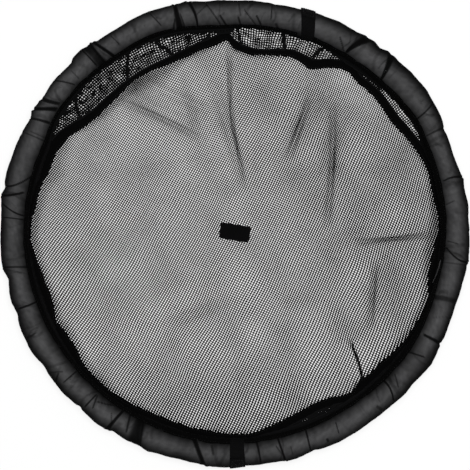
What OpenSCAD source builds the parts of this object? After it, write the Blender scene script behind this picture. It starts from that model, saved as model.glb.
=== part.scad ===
// Floating round net: a foam tube ring in a mesh sleeve carries a shallow basket of fine net.
// It lies slack on a flat floor: the ring rests on the floor and the wall's slack is tucked under it.
// Origin: floor level, under the middle of the ring. +Z is up, +Y is the side where the base
// has been drawn in. Millimetres and degrees.

/* [Ring] */
// Diameter of the ring, along the middle of its foam tube
ring_mid_d = 754; // [560:2:1100]
// Outside diameter of the foam tube
foam_od = 43; // [36:1:64]
// Outside diameter of the plastic hoop pipe in the foam's bore
pipe_od = 20; // [16:1:26]
// Wall of the hoop pipe
pipe_wall = 2; // [1.5:0.25:3]
// Length of the spigot that joins the ends of the hoop pipe
spigot_len = 90; // [60:5:140]
// Direction of the first butt joint between foam lengths
foam_joint_a = 71; // [60:1:80]

/* [Sleeve] */
// Thickness of the mesh sleeve
sleeve_t = 0.8; // [0.6:0.1:1.2]
// Height that a pleat of the sleeve stands over it
pleat_h = 1.4; // [0.8:0.1:1.6]
// Girth of the hem tape that closes the sleeve
hem_w = 30; // [24:1:36]
// Thickness of the hem tape with the seam under it
hem_t = 1.4; // [1:0.1:1.6]
// Turn of the hem tape's middle round the tube, from straight out of the ring
hem_a = 180; // [172:1:186]

/* [Webbing] */
// Width of the two webbing bands
web_w = 25; // [20:1:40]
// Thickness of the webbing
web_t = 1.4; // [1.2:0.1:1.8]
// Direction of webbing band A
web_a_dir = 70.3; // [66:0.1:78]
// Direction of webbing band B
web_b_dir = 270.7; // [266:0.1:274]
// Length of the sewn overlap at the webbing's ends, measured round the tube
web_lap = 30; // [20:1:36]

/* [Base] */
// Pitch of the net's strands
net_pitch = 38; // [36:1:60]
// Width of a strand
strand_w = 5; // [3:0.5:8]
// Thickness of the net
net_t = 0.9; // [0.6:0.1:1.5]
// Turn of the net's strands
net_turn = 62; // [0:1:90]
// Width of the binding tape folded over the base's edge
bind_w = 15; // [9:1:20]
// Thickness of one leaf of the binding tape
bind_t = 0.7; // [0.5:0.1:1]
// Length of the blank label
label_l = 50; // [30:1:80]
// Width of the blank label
label_w = 25; // [15:1:40]
// Thickness of the blank label
label_t = 0.8; // [0.5:0.1:1.5]
// Radius of the label's corners
label_r = 2; // [0.5:0.5:4]
// Turn of the label
label_turn = -9.5; // [-45:0.5:45]

/* [Wall] */
// Thickness of the wall net
wall_t = 1; // [0.6:0.1:1.2]
// Cut height of the wall net, from the binding to the hem
wall_h = 52; // [50:1:90]

/* [Hidden] */
$fn = 96;

fit = 0.2;           // gap between layers that lie on each other
pipe_gap = 0.6;      // gap between the butted ends of the hoop pipe
foam_gap = 0.4;      // gap between two butted foam lengths
foam_fit = 0.3;      // gap between the pipe and the foam's bore
wall_fit = 0.3;      // gap between the wall net and what it is sewn to
tuck_fit = 0.8;      // gap between the base's binding and the tube over it
spine_t = 0.8;       // thickness of the binding's folded edge
selvedge = 3;        // solid edge of the net, inside the binding
foam_count = 4;

lap_dir = 128;       // where the sleeve strip's two ends meet under a lap
strip_gap = 0.6;     // gap between those ends

// Pleats that take up the sleeve's spare length: [direction, length along the ring].
// The widest is the lap.
pleats = [[47.5, 7], [56, 7], [104.5, 9], [lap_dir, 40], [148, 38], [244, 17], [261, 8]];

// How far the slack base is drawn in from its full size: [direction, distance].
draw_in = [[0, 0], [18, 0], [24, 5], [30, 13], [35, 18], [45, 12], [50, 14.5], [54, 9], [58, 12],
           [61, 20], [65, 35], [72, 31], [78, 41], [84, 44.5], [88, 38], [90.5, 31], [92, 13],
           [96, 22.5], [102, 30], [106, 36], [113, 41.5], [132, 42], [139, 40], [144, 30],
           [150, 13], [156, 10], [162, 12.5], [166, 4.5], [171, 4.5], [176, 0], [183, 0], [191, 8],
           [199, 13], [203, 11], [207, 3.5], [210, 9.5], [216, 10], [222, 1], [236, 0], [246, 5],
           [252, 4.5], [258, 2], [262, 3], [267, 0.5], [275, 0], [281, 9], [288, 17], [295, 22],
           [300, 18], [306, 5], [309, 12], [318, 11], [324, 3.5], [332, 0], [342, 0], [348, 8],
           [354, 5], [360, 0]];
edge_step = 10;      // widest step between two points of the base's outline
wall_folds = 2;      // folds that the wall's slack lies in, under the tube
fold_rows = 4;       // rows of faces in each fold

ring_r = ring_mid_d / 2;
sleeve_ri = foam_od / 2 + foam_fit;
sleeve_ro = sleeve_ri + sleeve_t;
seat_r = sleeve_ro + fit;             // inside of the hem and the webbing
hem_ro = seat_r + hem_t;
web_ro = seat_r + web_t;
tube_z = web_ro;                      // the webbing touches the floor
lap_ri = web_ro;
hem_half = hem_w / 2 / seat_r * 180 / PI;
bind_h = 2 * bind_t + net_t + 2 * fit;
cover_r = max(hem_ro, web_ro);
base_r = ring_r - sqrt(pow(cover_r, 2) - pow(cover_r - bind_h - tuck_fit, 2));
net_z = bind_t + fit;
wall_low_z = bind_h + wall_fit + wall_t / 2;
wall_low_in = bind_w / 4;             // the wall's sewn edge, in from the binding's outside
wall_top_a = 205;                     // seat of the wall's top on the hem, round the tube
wall_tuck = 4;                        // how far a drawn-in wall still reaches under the tube
wall_top_r = cover_r + wall_fit + wall_t / 2;
wall_top_z = tube_z + wall_top_r * sin(wall_top_a);
wall_rows = 1 + wall_folds * fold_rows;

function polar(r, a) = [r * cos(a), r * sin(a)];
function arc_deg(len) = len / ring_r * 180 / PI;
function edge_r(a) = base_r - lookup(a, draw_in);

// Directions of the base outline's points: each span of draw_in in steps of edge_step or less
edge_dirs = [for (i = [0:len(draw_in) - 2])
    let (from = draw_in[i][0], span = draw_in[i + 1][0] - from, n = ceil(span / edge_step))
    for (k = [0:n - 1]) from + span * k / n];

// A profile drawn round the tube's middle, swept along the ring from one direction to another
module along_ring(from, to) {
    translate([0, 0, tube_z])
        rotate([0, 0, from])
            rotate_extrude(angle = to - from)
                translate([ring_r, 0])
                    children();
}

module annulus(ro, ri) {
    difference() {
        circle(r = ro);
        circle(r = ri);
    }
}

// A wedge of the plane round the tube's middle, from one turn to another
module wedge(from, to) {
    reach = 2 * cover_r;
    steps = 6;
    polygon(concat([[0, 0]], [for (k = [0:steps]) polar(reach, from + (to - from) * k / steps)]));
}

// Part of the base's outline: how far in from its outside the shape starts
module base_shape(inset) {
    polygon([for (a = edge_dirs) polar(edge_r(a) - inset, a)]);
}

module hoop_pipe() {
    half_gap = arc_deg(pipe_gap) / 2;
    color("#23272b")
        along_ring(half_gap, 360 - half_gap)
            annulus(pipe_od / 2, pipe_od / 2 - pipe_wall);
}

module hoop_joiner() {
    half = arc_deg(spigot_len) / 2;
    spigot_r = pipe_od / 2 - pipe_wall - fit;
    color("#5c6166")
        along_ring(-half, half)
            annulus(spigot_r, spigot_r - pipe_wall);
}

module foam_length(index) {
    from = foam_joint_a + (index - 1) * 360 / foam_count;
    half_gap = arc_deg(foam_gap) / 2;
    color("#6f7173")
        along_ring(from + half_gap, from + 360 / foam_count - half_gap)
            annulus(foam_od / 2, pipe_od / 2 + foam_fit);
}

// One strip of mesh round the foam; at each pleat it lies three deep, clear of the hem tape
module sleeve() {
    hem_clear = (fit + pleat_h) / seat_r * 180 / PI;
    pleat_from = hem_a + hem_half + hem_clear - 360;
    pleat_to = hem_a - hem_half - hem_clear;
    half_gap = arc_deg(strip_gap) / 2;
    color("#1d1e1f") {
        along_ring(lap_dir + half_gap, lap_dir + 360 - half_gap)
            annulus(sleeve_ro, sleeve_ri);
        for (p = pleats)
            along_ring(p[0] - arc_deg(p[1]) / 2, p[0] + arc_deg(p[1]) / 2)
                intersection() {
                    annulus(min(sleeve_ro + pleat_h, web_ro), sleeve_ro - sleeve_t / 2);
                    wedge(pleat_from, pleat_to);
                }
    }
}

// Tape over the seam that closes the sleeve, in two arcs that stop at the webbing
module sleeve_hem() {
    stop = arc_deg(web_w) / 2 + arc_deg(2 * fit);
    color("#0c0c0d")
        for (run = [[web_a_dir, web_b_dir], [web_b_dir, web_a_dir + 360]])
            along_ring(run[0] + stop, run[1] - stop)
                intersection() {
                    annulus(hem_ro, seat_r);
                    wedge(hem_a - hem_half, hem_a + hem_half);
                }
}

// A band of webbing sewn round the tube, its ends lapped on the upper outside
module webbing(dir) {
    half = arc_deg(web_w) / 2;
    lap_half = web_lap / 2 / lap_ri * 180 / PI;
    lap_mid = 40;
    color("#141416")
        along_ring(dir - half, dir + half) {
            annulus(web_ro, seat_r);
            intersection() {
                annulus(lap_ri + web_t, seat_r);
                wedge(lap_mid - lap_half, lap_mid + lap_half);
            }
        }
}

// The wall's line, by rows of points: one step out from the binding to the tube, then up along
// the tube's underside, less folds inwards that take up what is left of the cut height
function wall_row_z(k) = wall_low_z + (wall_top_z - wall_low_z) * k / wall_rows;
function tube_side(z) = ring_r - sqrt(pow(wall_top_r, 2) - pow(tube_z - z, 2));
function wall_line(a, k) =
    let (low = edge_r(a) - wall_low_in,
         reach = max(low, ring_r - wall_top_r + wall_tuck),
         slack = wall_h - (min(tube_side(wall_row_z(1)), reach) - low),
         rise = wall_top_z - wall_low_z,
         deep = sqrt(max(0, pow(slack, 2) - pow(rise, 2))) / wall_folds / 2)
    [k == 0 ? low
            : min(tube_side(wall_row_z(k)), reach) - deep * pow(sin((k - 1) * 180 / fold_rows), 2),
     wall_row_z(k)];

// Direction along the wall's line from one row of points to the next, nothing past its ends
function wall_leg(a, k) =
    let (leg = wall_line(a, k + 1) - wall_line(a, k))
    (k < 0 || k >= wall_rows) ? [0, 0] : leg / norm(leg);

// Square to the wall's line at a row: halfway between the two legs that meet there
function wall_side(a, k) =
    let (t = wall_leg(a, k - 1) + wall_leg(a, k))
    [t[1], -t[0]] / norm(t);

function wall_point(a, k, side) =
    let (p = wall_line(a, k) + side * wall_t / 2 * wall_side(a, k))
    [p[0] * cos(a), p[0] * sin(a), p[1]];

// Closed sheet: an outer and an inner grid of points, joined along both edges
module wall_net() {
    cols = len(edge_dirs);
    rows = wall_rows + 1;
    points = [for (side = [1, -1]) for (a = edge_dirs) for (k = [0:wall_rows])
        wall_point(a, k, side)];
    inner = cols * rows;
    faces = [for (i = [0:cols - 1])
        let (a = i * rows, b = ((i + 1) % cols) * rows)
        for (f = concat(
            [for (k = [0:wall_rows - 1]) each [
                [a + k, b + k + 1, b + k], [a + k, a + k + 1, b + k + 1],
                [inner + a + k, inner + b + k, inner + b + k + 1],
                [inner + a + k, inner + b + k + 1, inner + a + k + 1]]],
            [[a, b, inner + b], [a, inner + b, inner + a],
             [a + wall_rows, inner + b + wall_rows, b + wall_rows],
             [a + wall_rows, inner + a + wall_rows, inner + b + wall_rows]]))
        f];
    color("#2a2b2c")
        polyhedron(points, faces, convexity = 8);
}

// Square gaps between strands, kept where their middle lies inside the binding
module net_gaps() {
    half = ceil(base_r / net_pitch);
    gap = net_pitch - strand_w;
    for (i = [-half:half], j = [-half:half])
        let (c = [(i + 0.5) * net_pitch, j * net_pitch],
             dir = (atan2(c[1], c[0]) + net_turn + 720) % 360)
            if (norm(c) < edge_r(dir) - bind_w)
                rotate(net_turn)
                    translate(c)
                        square(gap, center = true);
}

module base_net() {
    color("#303132")
        translate([0, 0, net_z])
            linear_extrude(net_t)
                difference() {
                    base_shape(spine_t + 2 * fit);
                    intersection() {
                        net_gaps();
                        base_shape(spine_t + 2 * fit + selvedge);
                    }
                }
}

// Tape folded over the net's edge: a channel that is open inwards
module base_binding() {
    color("#08080a")
        difference() {
            linear_extrude(bind_h)
                difference() {
                    base_shape(0);
                    base_shape(bind_w);
                }
            translate([0, 0, bind_t])
                linear_extrude(bind_h - 2 * bind_t)
                    base_shape(spine_t);
        }
}

module label_patch() {
    color("#161617")
        translate([0, 0, net_z + net_t])
            rotate([0, 0, label_turn])
                linear_extrude(label_t)
                    union() {
                        square([label_l - 2 * label_r, label_w], center = true);
                        square([label_l, label_w - 2 * label_r], center = true);
                        for (x = [-1, 1], y = [-1, 1])
                            translate([x * (label_l / 2 - label_r), y * (label_w / 2 - label_r)])
                                circle(r = label_r, $fn = 24);
                    }
}

hoop_pipe();
hoop_joiner();
foam_length(1);  // foam_length_1
foam_length(2);  // foam_length_2
foam_length(3);  // foam_length_3
foam_length(4);  // foam_length_4
sleeve();
sleeve_hem();
webbing(web_a_dir);  // webbing_a
webbing(web_b_dir);  // webbing_b
wall_net();
base_net();
base_binding();
label_patch();
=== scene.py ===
"""Floating round net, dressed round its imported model.

A foam ring in a sheer mesh sleeve carries a shallow basket of knotless net. It lies slack on the
floor, so the base net is drawn in on the far side and the wall net's slack is tucked under the ring.
Sizes are millimetres and directions are degrees counterclockwise from +X. Meshes are in metres.
"""

import logging
from dataclasses import dataclass
from enum import Enum

import bpy
import numpy as np
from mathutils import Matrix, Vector
from numpy.typing import NDArray

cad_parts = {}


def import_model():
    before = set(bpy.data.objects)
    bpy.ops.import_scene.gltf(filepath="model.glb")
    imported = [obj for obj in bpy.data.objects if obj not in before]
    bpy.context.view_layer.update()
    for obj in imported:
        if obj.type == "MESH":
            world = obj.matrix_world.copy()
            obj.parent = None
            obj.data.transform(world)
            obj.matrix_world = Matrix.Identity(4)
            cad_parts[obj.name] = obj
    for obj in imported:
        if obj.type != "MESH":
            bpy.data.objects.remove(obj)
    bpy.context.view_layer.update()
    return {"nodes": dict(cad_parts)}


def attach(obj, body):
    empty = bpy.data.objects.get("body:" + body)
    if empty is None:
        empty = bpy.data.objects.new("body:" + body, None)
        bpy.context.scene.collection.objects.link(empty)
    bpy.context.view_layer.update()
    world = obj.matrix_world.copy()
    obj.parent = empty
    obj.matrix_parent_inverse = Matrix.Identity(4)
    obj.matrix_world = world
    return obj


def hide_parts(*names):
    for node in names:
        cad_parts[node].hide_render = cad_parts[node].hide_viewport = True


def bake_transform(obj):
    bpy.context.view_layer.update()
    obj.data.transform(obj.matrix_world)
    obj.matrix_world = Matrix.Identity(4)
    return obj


Array = NDArray[np.float64]
Faces = NDArray[np.int64]
Mask = NDArray[np.bool_]
Knots = tuple[tuple[float, float], ...]
Material = bpy.types.Material
Node = bpy.types.Node
Piece = bpy.types.Object
Socket = bpy.types.NodeSocket
Tree = bpy.types.NodeTree
log = logging.getLogger("round_net")

MM = 0.001
UP = np.array([0.0, 0.0, 1.0])


# Shared sums ------------------------------------------------------------------------------------


def bell(x: Array, width: float | Array) -> Array:
    """A smooth hump: e to the power of minus (x over width) squared."""
    return np.exp(-((x / width) ** 2))


def ease(x: Array, low: float, high: float) -> Array:
    """Smooth step: 0 below low, 1 above high, and t * t * (3 - 2t) between."""
    t = np.clip((x - low) / (high - low), 0.0, 1.0)
    return t * t * (3.0 - 2.0 * t)


def turn_gap(a: Array, b: float | Array) -> Array:
    """Signed turn in degrees from b to a, from -180 to 180."""
    return (a - b + 180.0) % 360.0 - 180.0


def unit(v: Array) -> Array:
    """Vectors scaled to length 1 along the last axis."""
    return v / np.maximum(np.linalg.norm(v, axis=-1, keepdims=True), 1e-12)


def around(direction: Array, knots: Knots, soft: float) -> Array:
    """A value by direction, through knots of (direction, value), eased between them.

    Args:
        direction: directions in degrees.
        knots: (direction, value), with the same value at 0 and 360.
        soft: how far the averaging reaches on each side, in degrees.

    Returns:
        The value at each direction: linear between knots, then averaged over five places.
    """
    at, value = np.array(knots, float).T
    taps = np.linspace(-soft, soft, 5)
    return np.mean([np.interp((direction + tap) % 360.0, at, value) for tap in taps], axis=0)


def wander(x: Array, y: Array, size: float, seed: int) -> Array:
    """Smooth unevenness between about -1 and 1: a sum of 14 sine waves in random directions.

    Args:
        x, y: place in mm.
        size: typical distance between two humps in mm.
        seed: seed of the random directions and phases.

    Returns:
        The height at each place, with a mean of 0.
    """
    rng = np.random.default_rng(seed)
    total = np.zeros(np.broadcast(x, y).shape)
    for turn, phase, stretch in rng.uniform((0, 0, 0.7), (2 * np.pi, 2 * np.pi, 1.4), (14, 3)):
        wave = 2 * np.pi * stretch / size
        total += np.sin(wave * (x * np.cos(turn) + y * np.sin(turn)) + phase)
    return total / 5.0


# Meshes -----------------------------------------------------------------------------------------


@dataclass
class Patch:
    """Quads over a grid of points, with the cloth's own coordinates at each corner.

    Fields:
        points: (rows, cols, 3) in mm.
        along, across: cloth coordinates in mm by row and by column, one more than the grid has
            where it closes on itself.
        closed_rows, closed_cols: whether the last row or column joins the first.
    """

    points: Array
    along: Array
    across: Array
    closed_rows: bool = False
    closed_cols: bool = False

    def faces(self) -> tuple[Faces, Array]:
        """Corner numbers of each quad, and the cloth coordinates of its corners."""
        rows, cols = self.points.shape[:2]
        i = np.arange(rows if self.closed_rows else rows - 1)[:, None]
        j = np.arange(cols if self.closed_cols else cols - 1)[None, :]
        steps = [(0, 0), (1, 0), (1, 1), (0, 1)]
        quads = np.stack([((i + a) % rows) * cols + (j + b) % cols for a, b in steps], -1)
        corners = [np.broadcast_arrays(self.along[i + a], self.across[j + b]) for a, b in steps]
        cloth = np.stack([np.stack(corner, -1) for corner in corners], -2)
        return quads.reshape(-1, 4), cloth.reshape(-1, 4, 2)


def make_piece(
    name: str,
    points: Array,
    faces: Faces,
    cloth: Array | None = None,
    values: dict[str, Array] | None = None,
    smooth: bool = True,
) -> Piece:
    """A mesh object at the origin, from points in mm and faces that all have as many corners.

    Args:
        name: the piece's name.
        points: (n, 3) in mm.
        faces: (m, corners) point numbers.
        cloth: (m, corners, 2) cloth coordinates in mm, kept in metres as the UV map Cloth.
        values: per-point numbers for the material, by name.
        smooth: whether the faces are shaded smooth.

    Returns:
        The object, linked into the scene.
    """
    mesh = bpy.data.meshes.new(name)
    corners = faces.shape[1]
    mesh.vertices.add(len(points))
    mesh.vertices.foreach_set("co", (np.asarray(points) * MM).astype(np.float32).ravel())
    mesh.loops.add(faces.size)
    mesh.loops.foreach_set("vertex_index", faces.astype(np.int32).ravel())
    mesh.polygons.add(len(faces))
    mesh.polygons.foreach_set("loop_start", np.arange(0, faces.size, corners, dtype=np.int32))
    mesh.polygons.foreach_set("use_smooth", np.full(len(faces), smooth))
    if cloth is not None:
        uv = mesh.uv_layers.new(name="Cloth")
        uv.data.foreach_set("uv", (cloth * MM).astype(np.float32).ravel())
    for key, value in (values or {}).items():
        layer = mesh.attributes.new(key, "FLOAT", "POINT")
        layer.data.foreach_set("value", np.asarray(value, np.float32).ravel())
    mesh.update(calc_edges=True)
    mesh.validate()
    piece = bpy.data.objects.new(name, mesh)
    bpy.context.scene.collection.objects.link(piece)
    return piece


def slab(name: str, top: Patch, bottom: Array, values: dict[str, Array] | None = None) -> Piece:
    """A closed piece between a top grid and a bottom grid of the same shape.

    The bottom takes the top's quads turned over, and a row of quads closes each open side.

    Args:
        name: the piece's name.
        top: the grid whose faces look outwards.
        bottom: (rows, cols, 3) in mm, below the top.
        values: per-point numbers of the top, repeated for the bottom.

    Returns:
        The object.
    """
    rows, cols = top.points.shape[:2]
    count = rows * cols
    quads, cloth = top.faces()
    number = np.arange(count).reshape(rows, cols)
    rims = []
    if not top.closed_cols:
        rims += [number[::-1, 0], number[:, -1]]
        if top.closed_rows:
            rims = [np.append(rim, rim[0]) for rim in rims]
    if not top.closed_rows:
        rims += [number[0, :], number[-1, ::-1]]
        if top.closed_cols:
            rims[-2:] = [np.append(rim, rim[0]) for rim in rims[-2:]]
    sides = [np.stack([r[:-1], r[:-1] + count, r[1:] + count, r[1:]], -1) for r in rims]
    side = np.concatenate(sides) if sides else np.zeros((0, 4), int)
    flat = np.zeros((len(side), 4, 2))
    flat[:, :2] = cloth.reshape(-1, 2)[0]
    flat[:, 2:] = cloth.reshape(-1, 2)[1]
    doubled = {key: np.tile(np.ravel(value), 2) for key, value in (values or {}).items()}
    return make_piece(
        name,
        np.concatenate([top.points.reshape(-1, 3), np.asarray(bottom).reshape(-1, 3)]),
        np.concatenate([quads, quads[:, ::-1] + count, side]),
        np.concatenate([cloth, cloth[:, ::-1], flat]),
        doubled,
    )


def threads(
    paths: Array, kept: Mask, up: Array, width: Array, height: float, first: int
) -> tuple[Array, Faces, Array]:
    """Threads with a three-sided section: a flat underside and a ridge.

    Each path point p carries a triangle: p - w/2 side, p + w/2 side and p + h up, where side is the
    path's direction crossed with up. Runs of kept points are joined and closed at both ends.

    Args:
        paths: (threads, samples, 3) middle of the underside, in mm.
        kept: (threads, samples) which samples exist.
        up: (threads, samples, 3) or (3,) direction of the ridge.
        width: (threads, samples) width of the underside in mm.
        height: of the section in mm.
        first: number of the first point.

    Returns:
        Points (n, 3), triangles (m, 3) and a value from 0 to 1 at each point that differs by thread.
    """
    ahead = unit(np.gradient(paths, axis=1))
    up = unit(up - np.sum(ahead * up, -1, keepdims=True) * ahead)
    side = np.cross(ahead, up)
    half = np.broadcast_to(width, kept.shape)[..., None] / 2 * side
    ring = np.stack([paths - half, paths + half, paths + height * up], axis=2)
    number = np.full(kept.shape, -1)
    number[kept] = first + 3 * np.arange(kept.sum())
    both = kept[:, :-1] & kept[:, 1:]
    a, b = number[:, :-1][both][:, None], number[:, 1:][both][:, None]
    k, n = np.arange(3)[None, :], (np.arange(3)[None, :] + 1) % 3
    halves = np.stack([a + k, a + n, b + n], -1), np.stack([a + k, b + n, b + k], -1)
    walls = np.concatenate(halves).reshape(-1, 3)
    before = np.pad(both, ((0, 0), (1, 0)))
    after = np.pad(both, ((0, 0), (0, 1)))
    start, stop = number[kept & ~before][:, None], number[kept & ~after][:, None]
    caps = np.concatenate([start + [[0, 2, 1]], stop + [[0, 1, 2]]])
    shade = np.random.default_rng(5).uniform(0, 1, (len(kept), 1))
    shade = np.broadcast_to(shade, kept.shape)[kept]
    return ring[kept].reshape(-1, 3), np.concatenate([walls, caps]), np.repeat(shade, 3)


def net_piece(name: str, sets: list[tuple[Array, Faces, Array]]) -> Piece:
    """One piece from several sets of threads, each as threads() returns it."""
    points, faces, shades = map(np.concatenate, zip(*sets))
    return make_piece(name, points, faces, values={"shade": shades}, smooth=False)


# Finishes ---------------------------------------------------------------------------------------


def linear(colour: str) -> tuple[float, float, float, float]:
    """An sRGB hex colour as linear RGBA: below 0.04045 it is divided by 12.92, else the 2.4 power."""
    srgb = np.array([int(colour[i : i + 2], 16) for i in (1, 3, 5)]) / 255
    rgb = np.where(srgb <= 0.04045, srgb / 12.92, ((srgb + 0.055) / 1.055) ** 2.4)
    return (*rgb.tolist(), 1.0)


def set_inputs(tree: Tree, node: Node, inputs: dict) -> None:
    """Gives a node's inputs, by number or name, a value or a socket that they are linked from."""
    for key, value in inputs.items():
        if isinstance(value, Socket):
            tree.links.new(value, node.inputs[key])
        else:
            node.inputs[key].default_value = value


def add_node(tree: Tree, kind: str, inputs: dict, **settings) -> Node:
    """Adds a node.

    Args:
        tree: the node tree.
        kind: the node's type without its ShaderNode prefix.
        inputs: socket number or name to a value or a socket.
        settings: the node's own settings.

    Returns:
        The node.
    """
    node = tree.nodes.new("ShaderNode" + kind)
    for key, value in settings.items():
        setattr(node, key, value)
    set_inputs(tree, node, inputs)
    return node


def calculate(tree: Tree, operation: str, *values: float | Socket) -> Socket:
    """The result of a Math node on one to three numbers or sockets."""
    return add_node(tree, "Math", dict(enumerate(values)), operation=operation).outputs[0]


def mottle(
    tree: Tree, scale: float, detail: float, kind: str = "TexNoise", **inputs: float
) -> Socket:
    """Noise from 0 to 1 in the piece's own coordinates, with patches about 1 / scale metres wide."""
    place = add_node(tree, "TexCoord", {}).outputs["Object"]
    given = {"Vector": place, "Scale": scale, "Detail": detail, **inputs}
    return add_node(tree, kind, given).outputs[0]


def between(tree: Tree, share: Socket, low: str, high: str, clamp: bool = True) -> Socket:
    """A colour between two sRGB hex colours: low at a share of 0, high at 1."""
    given = {0: share, 6: linear(low), 7: linear(high)}
    return add_node(tree, "Mix", given, data_type="RGBA", clamp_factor=clamp).outputs[2]


def bump(tree: Tree, height: Socket, strength: float, depth: float) -> Socket:
    """The normal over a relief that is depth mm deep."""
    given = {"Strength": strength, "Distance": depth * MM, "Height": height}
    return add_node(tree, "Bump", given).outputs[0]


class Weave(Enum):
    """How the threads of a cloth show."""

    RIB = "rib"  # weft ribs across a tape
    TWILL = "twill"  # a herringbone that meets at the middle
    PLAIN = "plain"  # over one, under one


def start_material(name: str) -> tuple[Material, Tree, Node]:
    """An empty node material with its Principled shader linked to the output."""
    material = bpy.data.materials.new(name)
    material.use_nodes = True
    tree = material.node_tree
    tree.nodes.clear()
    shader = add_node(tree, "BsdfPrincipled", {})
    add_node(tree, "OutputMaterial", {"Surface": shader.outputs[0]})
    return material, tree, shader


def weave_height(tree: Tree, weave: Weave, pitch: float) -> Socket:
    """Height of a weave from 0 to 1, from the UV map Cloth.

    The rib is sin(u), the twill sin(u + |v|) and the plain weave sin(u) * sin(v), where u and v
    are 2 pi times the distance along and across the cloth over the pitch.

    Args:
        tree: the node tree.
        weave: which weave.
        pitch: distance between two threads in mm.

    Returns:
        The socket with the height.
    """
    uv = add_node(tree, "UVMap", {}, uv_map="Cloth")
    wave = 2 * np.pi / (pitch * MM)
    scaled = add_node(
        tree, "VectorMath", {0: uv.outputs[0], 1: (wave, wave, wave)}, operation="MULTIPLY"
    )
    split = add_node(tree, "SeparateXYZ", {0: scaled.outputs[0]})
    u, v = split.outputs[0], split.outputs[1]
    if weave is Weave.TWILL:
        u = calculate(tree, "ADD", u, calculate(tree, "ABSOLUTE", v))
    height = calculate(tree, "SINE", u)
    if weave is Weave.PLAIN:
        height = calculate(tree, "MULTIPLY", height, calculate(tree, "SINE", v))
    return calculate(tree, "MULTIPLY_ADD", height, 0.5, 0.5)


@dataclass(frozen=True)
class SheerMesh:
    """Black polyester tulle over grey foam: the foam greys it where it lies one layer deep.

    Polyester knit is matt with hardly any highlight. Its holes are about 1 mm, drawn at 2 mm so
    that they show from close by. Each further layer lets a quarter of the grey through. Its
    layer count also carries painted shade: on the tube's outer side, beside the hem and along
    the creases.
    """

    name: str = "polyester_tulle"
    thread: str = "#050505"
    over_foam: str = "#525253"
    pitch: float = 2.0

    def build(self) -> Material:
        """The material, mixed from thread to grey.

        The share of grey is 0.25 to the power of (layers - 1), where the count holds
        painted shade too, times an unevenness of 0.74 to 1.20 from the knit's stretch, times 0.75 on
        a thread to 1.25 in a hole.
        """
        material, tree, shader = start_material(self.name)
        # the layer count carries painted shade as well as cloth layers
        layers = add_node(tree, "Attribute", {}, attribute_name="layers").outputs["Fac"]
        seen = calculate(tree, "POWER", 0.25, calculate(tree, "SUBTRACT", layers, 1.0))
        patchy = mottle(tree, 33.0, 3.0, Roughness=0.6)
        uneven = add_node(tree, "MapRange", {0: patchy, 1: 0.3, 2: 0.7, 3: 0.74, 4: 1.20})
        height = weave_height(tree, Weave.PLAIN, self.pitch)
        open_share = calculate(tree, "MULTIPLY_ADD", height, 0.5, 0.75)
        share = calculate(tree, "MULTIPLY", seen, uneven.outputs[0])
        share = calculate(tree, "MULTIPLY", share, open_share)
        skin = {
            "Base Color": between(tree, share, self.thread, self.over_foam, clamp=False),
            "Normal": bump(tree, height, 0.35, 0.2),
            "Roughness": 0.95,
            "Specular IOR Level": 0.03,
        }
        set_inputs(tree, shader, skin)
        return material


@dataclass(frozen=True)
class WovenTape:
    """Black polyester tape: matt, with a rib or twill, a little lighter where it is rubbed."""

    name: str
    dye: str
    worn: str
    weave: Weave
    pitch: float  # mm between two ribs; a real one has 1 mm, drawn coarser so that it shows
    depth: float = 0.25  # mm

    def build(self) -> Material:
        """The material: dye in the hollows, the worn colour on the ribs in faint patches."""
        material, tree, shader = start_material(self.name)
        height = weave_height(tree, self.weave, self.pitch)
        share = calculate(tree, "MULTIPLY", height, mottle(tree, 60.0, 4.0, Roughness=0.7))
        skin = {
            "Base Color": between(tree, share, self.dye, self.worn),
            "Normal": bump(tree, height, 0.6, self.depth),
            "Roughness": 0.95,
            "Specular IOR Level": 0.03,
        }
        set_inputs(tree, shader, skin)
        return material


@dataclass(frozen=True)
class NetThread:
    """Black knotless polyester net: smooth yarn with a faint sheen, its dye a little uneven."""

    name: str = "polyester_net_yarn"
    dye: str = "#050505"
    light: str = "#0d0d0e"

    def build(self) -> Material:
        """The material: each thread between the two colours, with filaments of 0.4 mm in relief."""
        material, tree, shader = start_material(self.name)
        shade = add_node(tree, "Attribute", {}, attribute_name="shade").outputs["Fac"]
        skin = {
            "Base Color": between(tree, shade, self.dye, self.light),
            "Normal": bump(tree, mottle(tree, 2500.0, 1.0), 0.3, 0.1),
            "Roughness": 0.85,
            "Specular IOR Level": 0.05,
        }
        set_inputs(tree, shader, skin)
        return material


@dataclass(frozen=True)
class ClosedCellFoam:
    """Grey closed-cell polyethylene pipe foam: matt skin with fine cells and a few scuffs."""

    name: str = "polyethylene_foam"
    skin: str = "#77787a"
    cell: str = "#5f6062"

    def build(self) -> Material:
        """The material: cells of 0.8 mm in colour and relief, fainter in patches of 22 mm."""
        material, tree, shader = start_material(self.name)
        cells = mottle(tree, 1250.0, 0.0, kind="TexVoronoi")
        share = calculate(tree, "MULTIPLY", cells, mottle(tree, 45.0, 5.0))
        skin = {
            "Base Color": between(tree, share, self.skin, self.cell),
            "Normal": bump(tree, cells, 0.4, 0.3),
            "Roughness": 0.8,
            "IOR": 1.5,
        }
        set_inputs(tree, shader, skin)
        return material


@dataclass(frozen=True)
class ExtrudedPipe:
    """Polyethylene pipe: waxy, semi-matt, with faint die lines and scratches."""

    name: str
    colour: str
    scratch: str

    def build(self) -> Material:
        """The material: scratches 4 mm apart lighten the colour and roughen the skin."""
        material, tree, shader = start_material(self.name)
        lines = mottle(tree, 250.0, 6.0, Distortion=1.5)
        marks = add_node(tree, "MapRange", {0: lines, 1: 0.6, 2: 0.72}).outputs[0]
        skin = {
            "Base Color": between(tree, marks, self.colour, self.scratch),
            "Roughness": add_node(tree, "MapRange", {0: lines, 3: 0.32, 4: 0.5}).outputs[0],
            "IOR": 1.51,
        }
        set_inputs(tree, shader, skin)
        return material


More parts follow.
